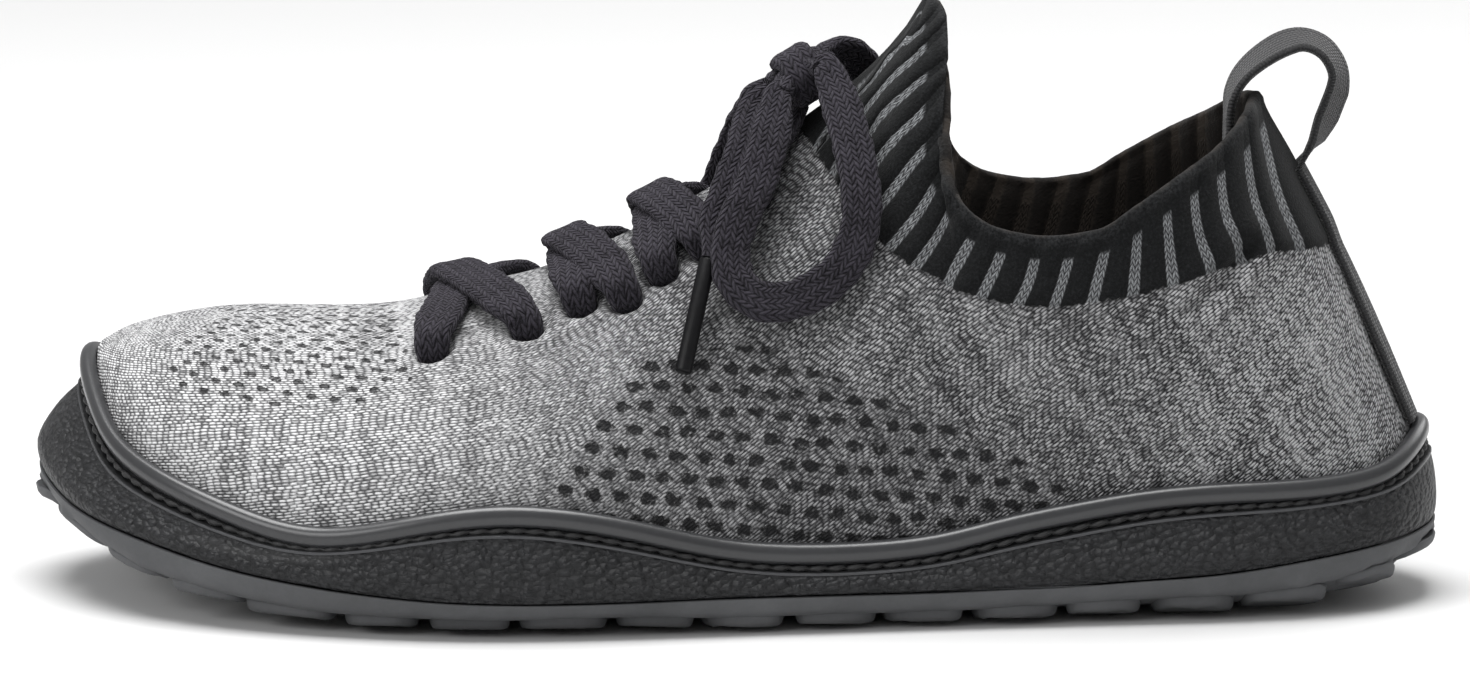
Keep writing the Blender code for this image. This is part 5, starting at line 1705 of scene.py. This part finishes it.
def webbing():
    finish = Finish("felted webbing", Roughness=0.9, Sheen_Weight=0.25, Sheen_Roughness=0.5, Specular_IOR_Level=0.25)
    along, over = finish.cloth()
    place = finish.place()
    _, _, z = finish.parts(place)
    nap = finish.noise(place, 2200.0, 3.0, 0.65)
    column = over / 0.0011
    rows = (along / 0.00072 + column.math("FLOOR") * 0.5).share()
    ribs = column.share()
    weave = (1 - rows * rows * 3.2) * (1 - ribs * ribs * 2.8)
    edge = finish.attribute("edge").smooth(0.74, 0.82)
    # Painted light: the strip is painted lighter where it stands free above the collar; its darker edges are the
    # webbing's own woven edge.
    free = z.smooth(0.082, 0.090)
    shade = nap * 0.7 + weave * 0.35 - edge * 0.22 - 0.3 + free * 0.12
    finish.feed("Base Color", finish.blend(shade.smooth(0.0, 1.0), (0.006, 0.006, 0.007), (0.070, 0.069, 0.073)))
    finish.bump(weave * 0.8 + nap * 0.6, 0.00040)
    return finish


tape = make_tape()
wear(tape, webbing())
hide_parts("heel_tape")
print("tape:", len(tape.data.polygons), "faces")

# %% [markdown]
# ## The lace over the instep
# Between the eyelets the lace lies in crossed straps. Each strap dives into one eyelet, comes out of the next across
# the instep, and rides over the other strap of its pair on the ridge. The last strap carries the bow.

# %% The straps
CROSSINGS = ((0, 1), (2, 3), (4, 5))
STRAP_RUN = (
    (0.000, -0.0026, 0.66), (0.000, 0.0014, 0.72), (0.040, 0.0034, 0.85), (0.140, 0.0036, 1.00), (0.320, 0.0028, 1.00),
    (0.500, 0.0025, 1.00), (0.680, 0.0028, 1.00), (0.860, 0.0036, 1.00), (0.960, 0.0034, 0.85), (1.000, 0.0014, 0.72),
    (1.000, -0.0026, 0.66),
)
STRAP_OVER = 0.0026
TIE_BACK = 0.38
TIE_LOWER = -0.0003
STRAP_WIDER = 1.13


def strap(name, start, end, over, back):
    """A lace strap from the eyelet start on the outer side to the eyelet end on the inner one."""
    (row_a, rise_a), (row_b, rise_b) = start, end
    places = []
    for share, lift, width in STRAP_RUN:
        row = row_a + (row_b - row_a) * share + back * math.sin(math.pi * share)
        sway = (rise_a - 1) + (2 - rise_a - rise_b) * share
        side = -1 if sway < 0 else 1
        here, out = surface_frame(row, side, 1 - abs(sway))
        lift += over * math.sin(math.pi * share) ** 2
        places.append((*(here + out * lift), width, *out))
    run = smooth_run(places, 76)
    line, facing = run[:, :3], run[:, 4:7].copy()
    for i in range(len(run)):
        ahead = ahead_at(line, i)
        if abs(ahead @ facing[i]) > 0.8 * np.linalg.norm(facing[i]):
            facing[i] = np.cross(np.cross(ahead, LEVEL), ahead)
        if np.cross(ahead, facing[i])[0] < 0:
            facing[i] = -facing[i]
    widths = run[:, 3] * LACE_WIDTH * STRAP_WIDER
    thicks = LACE_THICKNESS * (0.86 + 0.6 * (1 - run[:, 3]))
    return sweep_braid(name, line, facing, widths, thicks)


for number, (first, second) in enumerate(CROSSINGS):
    parts = [
        strap("strap", EYELETS[first], EYELETS[second], 0, 0),
        strap("strap_over", EYELETS[second], EYELETS[first], STRAP_OVER, 0),
    ]
    crossing = join_as(f"lace_cross_{number + 1}", parts)
    wear(crossing, lace_finish)
    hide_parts(f"lace_crossing_{number + 1}")
tie = strap("top_strap", EYELETS[-1], EYELETS[-1], TIE_LOWER, TIE_BACK)
wear(tie, lace_finish)
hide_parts("lace_tie")
print("strap:", len(tie.data.polygons), "faces")

# %% [markdown]
# ## Floor and light
# The photograph is a cut-out on white with a soft shadow close under the sole. A pale floor under an even sky gives
# that: the camera sees the sky as plain white, and as a light it is weaker. Three soft lamps model the form: a wide
# one overhead, one from the toe's side and a weak one behind.

# %% The studio
SKY_LIGHT = 0.36


def make_floor():
    bpy.ops.mesh.primitive_plane_add(size=3.2, location=(0, 0, -0.0002))
    floor = bpy.context.object
    floor.name = "studio_floor"
    paper = Finish("white paper", Roughness=0.95)
    tone = paper.noise(paper.place(), 1.5, 1.0)
    paper.feed("Base Color", paper.blend(tone, (0.66, 0.66, 0.66), (0.68, 0.68, 0.68)))
    floor.data.materials.append(paper.material)


def soft_lamp(name, place, size, power, aim=(0, 0, 0.04)):
    bpy.ops.object.light_add(type="AREA", location=place)
    lamp = bpy.context.object
    lamp.name = name
    lamp.data.size = size
    lamp.data.energy = power
    lamp.rotation_euler = (Vector(aim) - Vector(place)).to_track_quat("-Z", "Y").to_euler()


def make_sky():
    world = bpy.data.worlds.new("studio")
    bpy.context.scene.world = world
    world.use_nodes = True
    nodes, links = world.node_tree.nodes, world.node_tree.links
    sky = nodes["Background"]
    sky.inputs["Color"].default_value = (1, 1, 1, 1)
    seen = nodes.new("ShaderNodeLightPath")
    strength = nodes.new("ShaderNodeMapRange")
    strength.inputs["To Min"].default_value = SKY_LIGHT
    links.new(seen.outputs["Is Camera Ray"], strength.inputs["Value"])
    links.new(strength.outputs["Result"], sky.inputs["Strength"])


make_floor()
soft_lamp("overhead", (-0.12, 0.02, 1.5), 1.1, 34)
soft_lamp("toe_side", (-1.3, -1.1, 0.9), 0.8, 12)
soft_lamp("behind", (0.9, 1.0, 0.9), 0.8, 5)
make_sky()
bpy.context.scene.view_settings.view_transform = "Standard"
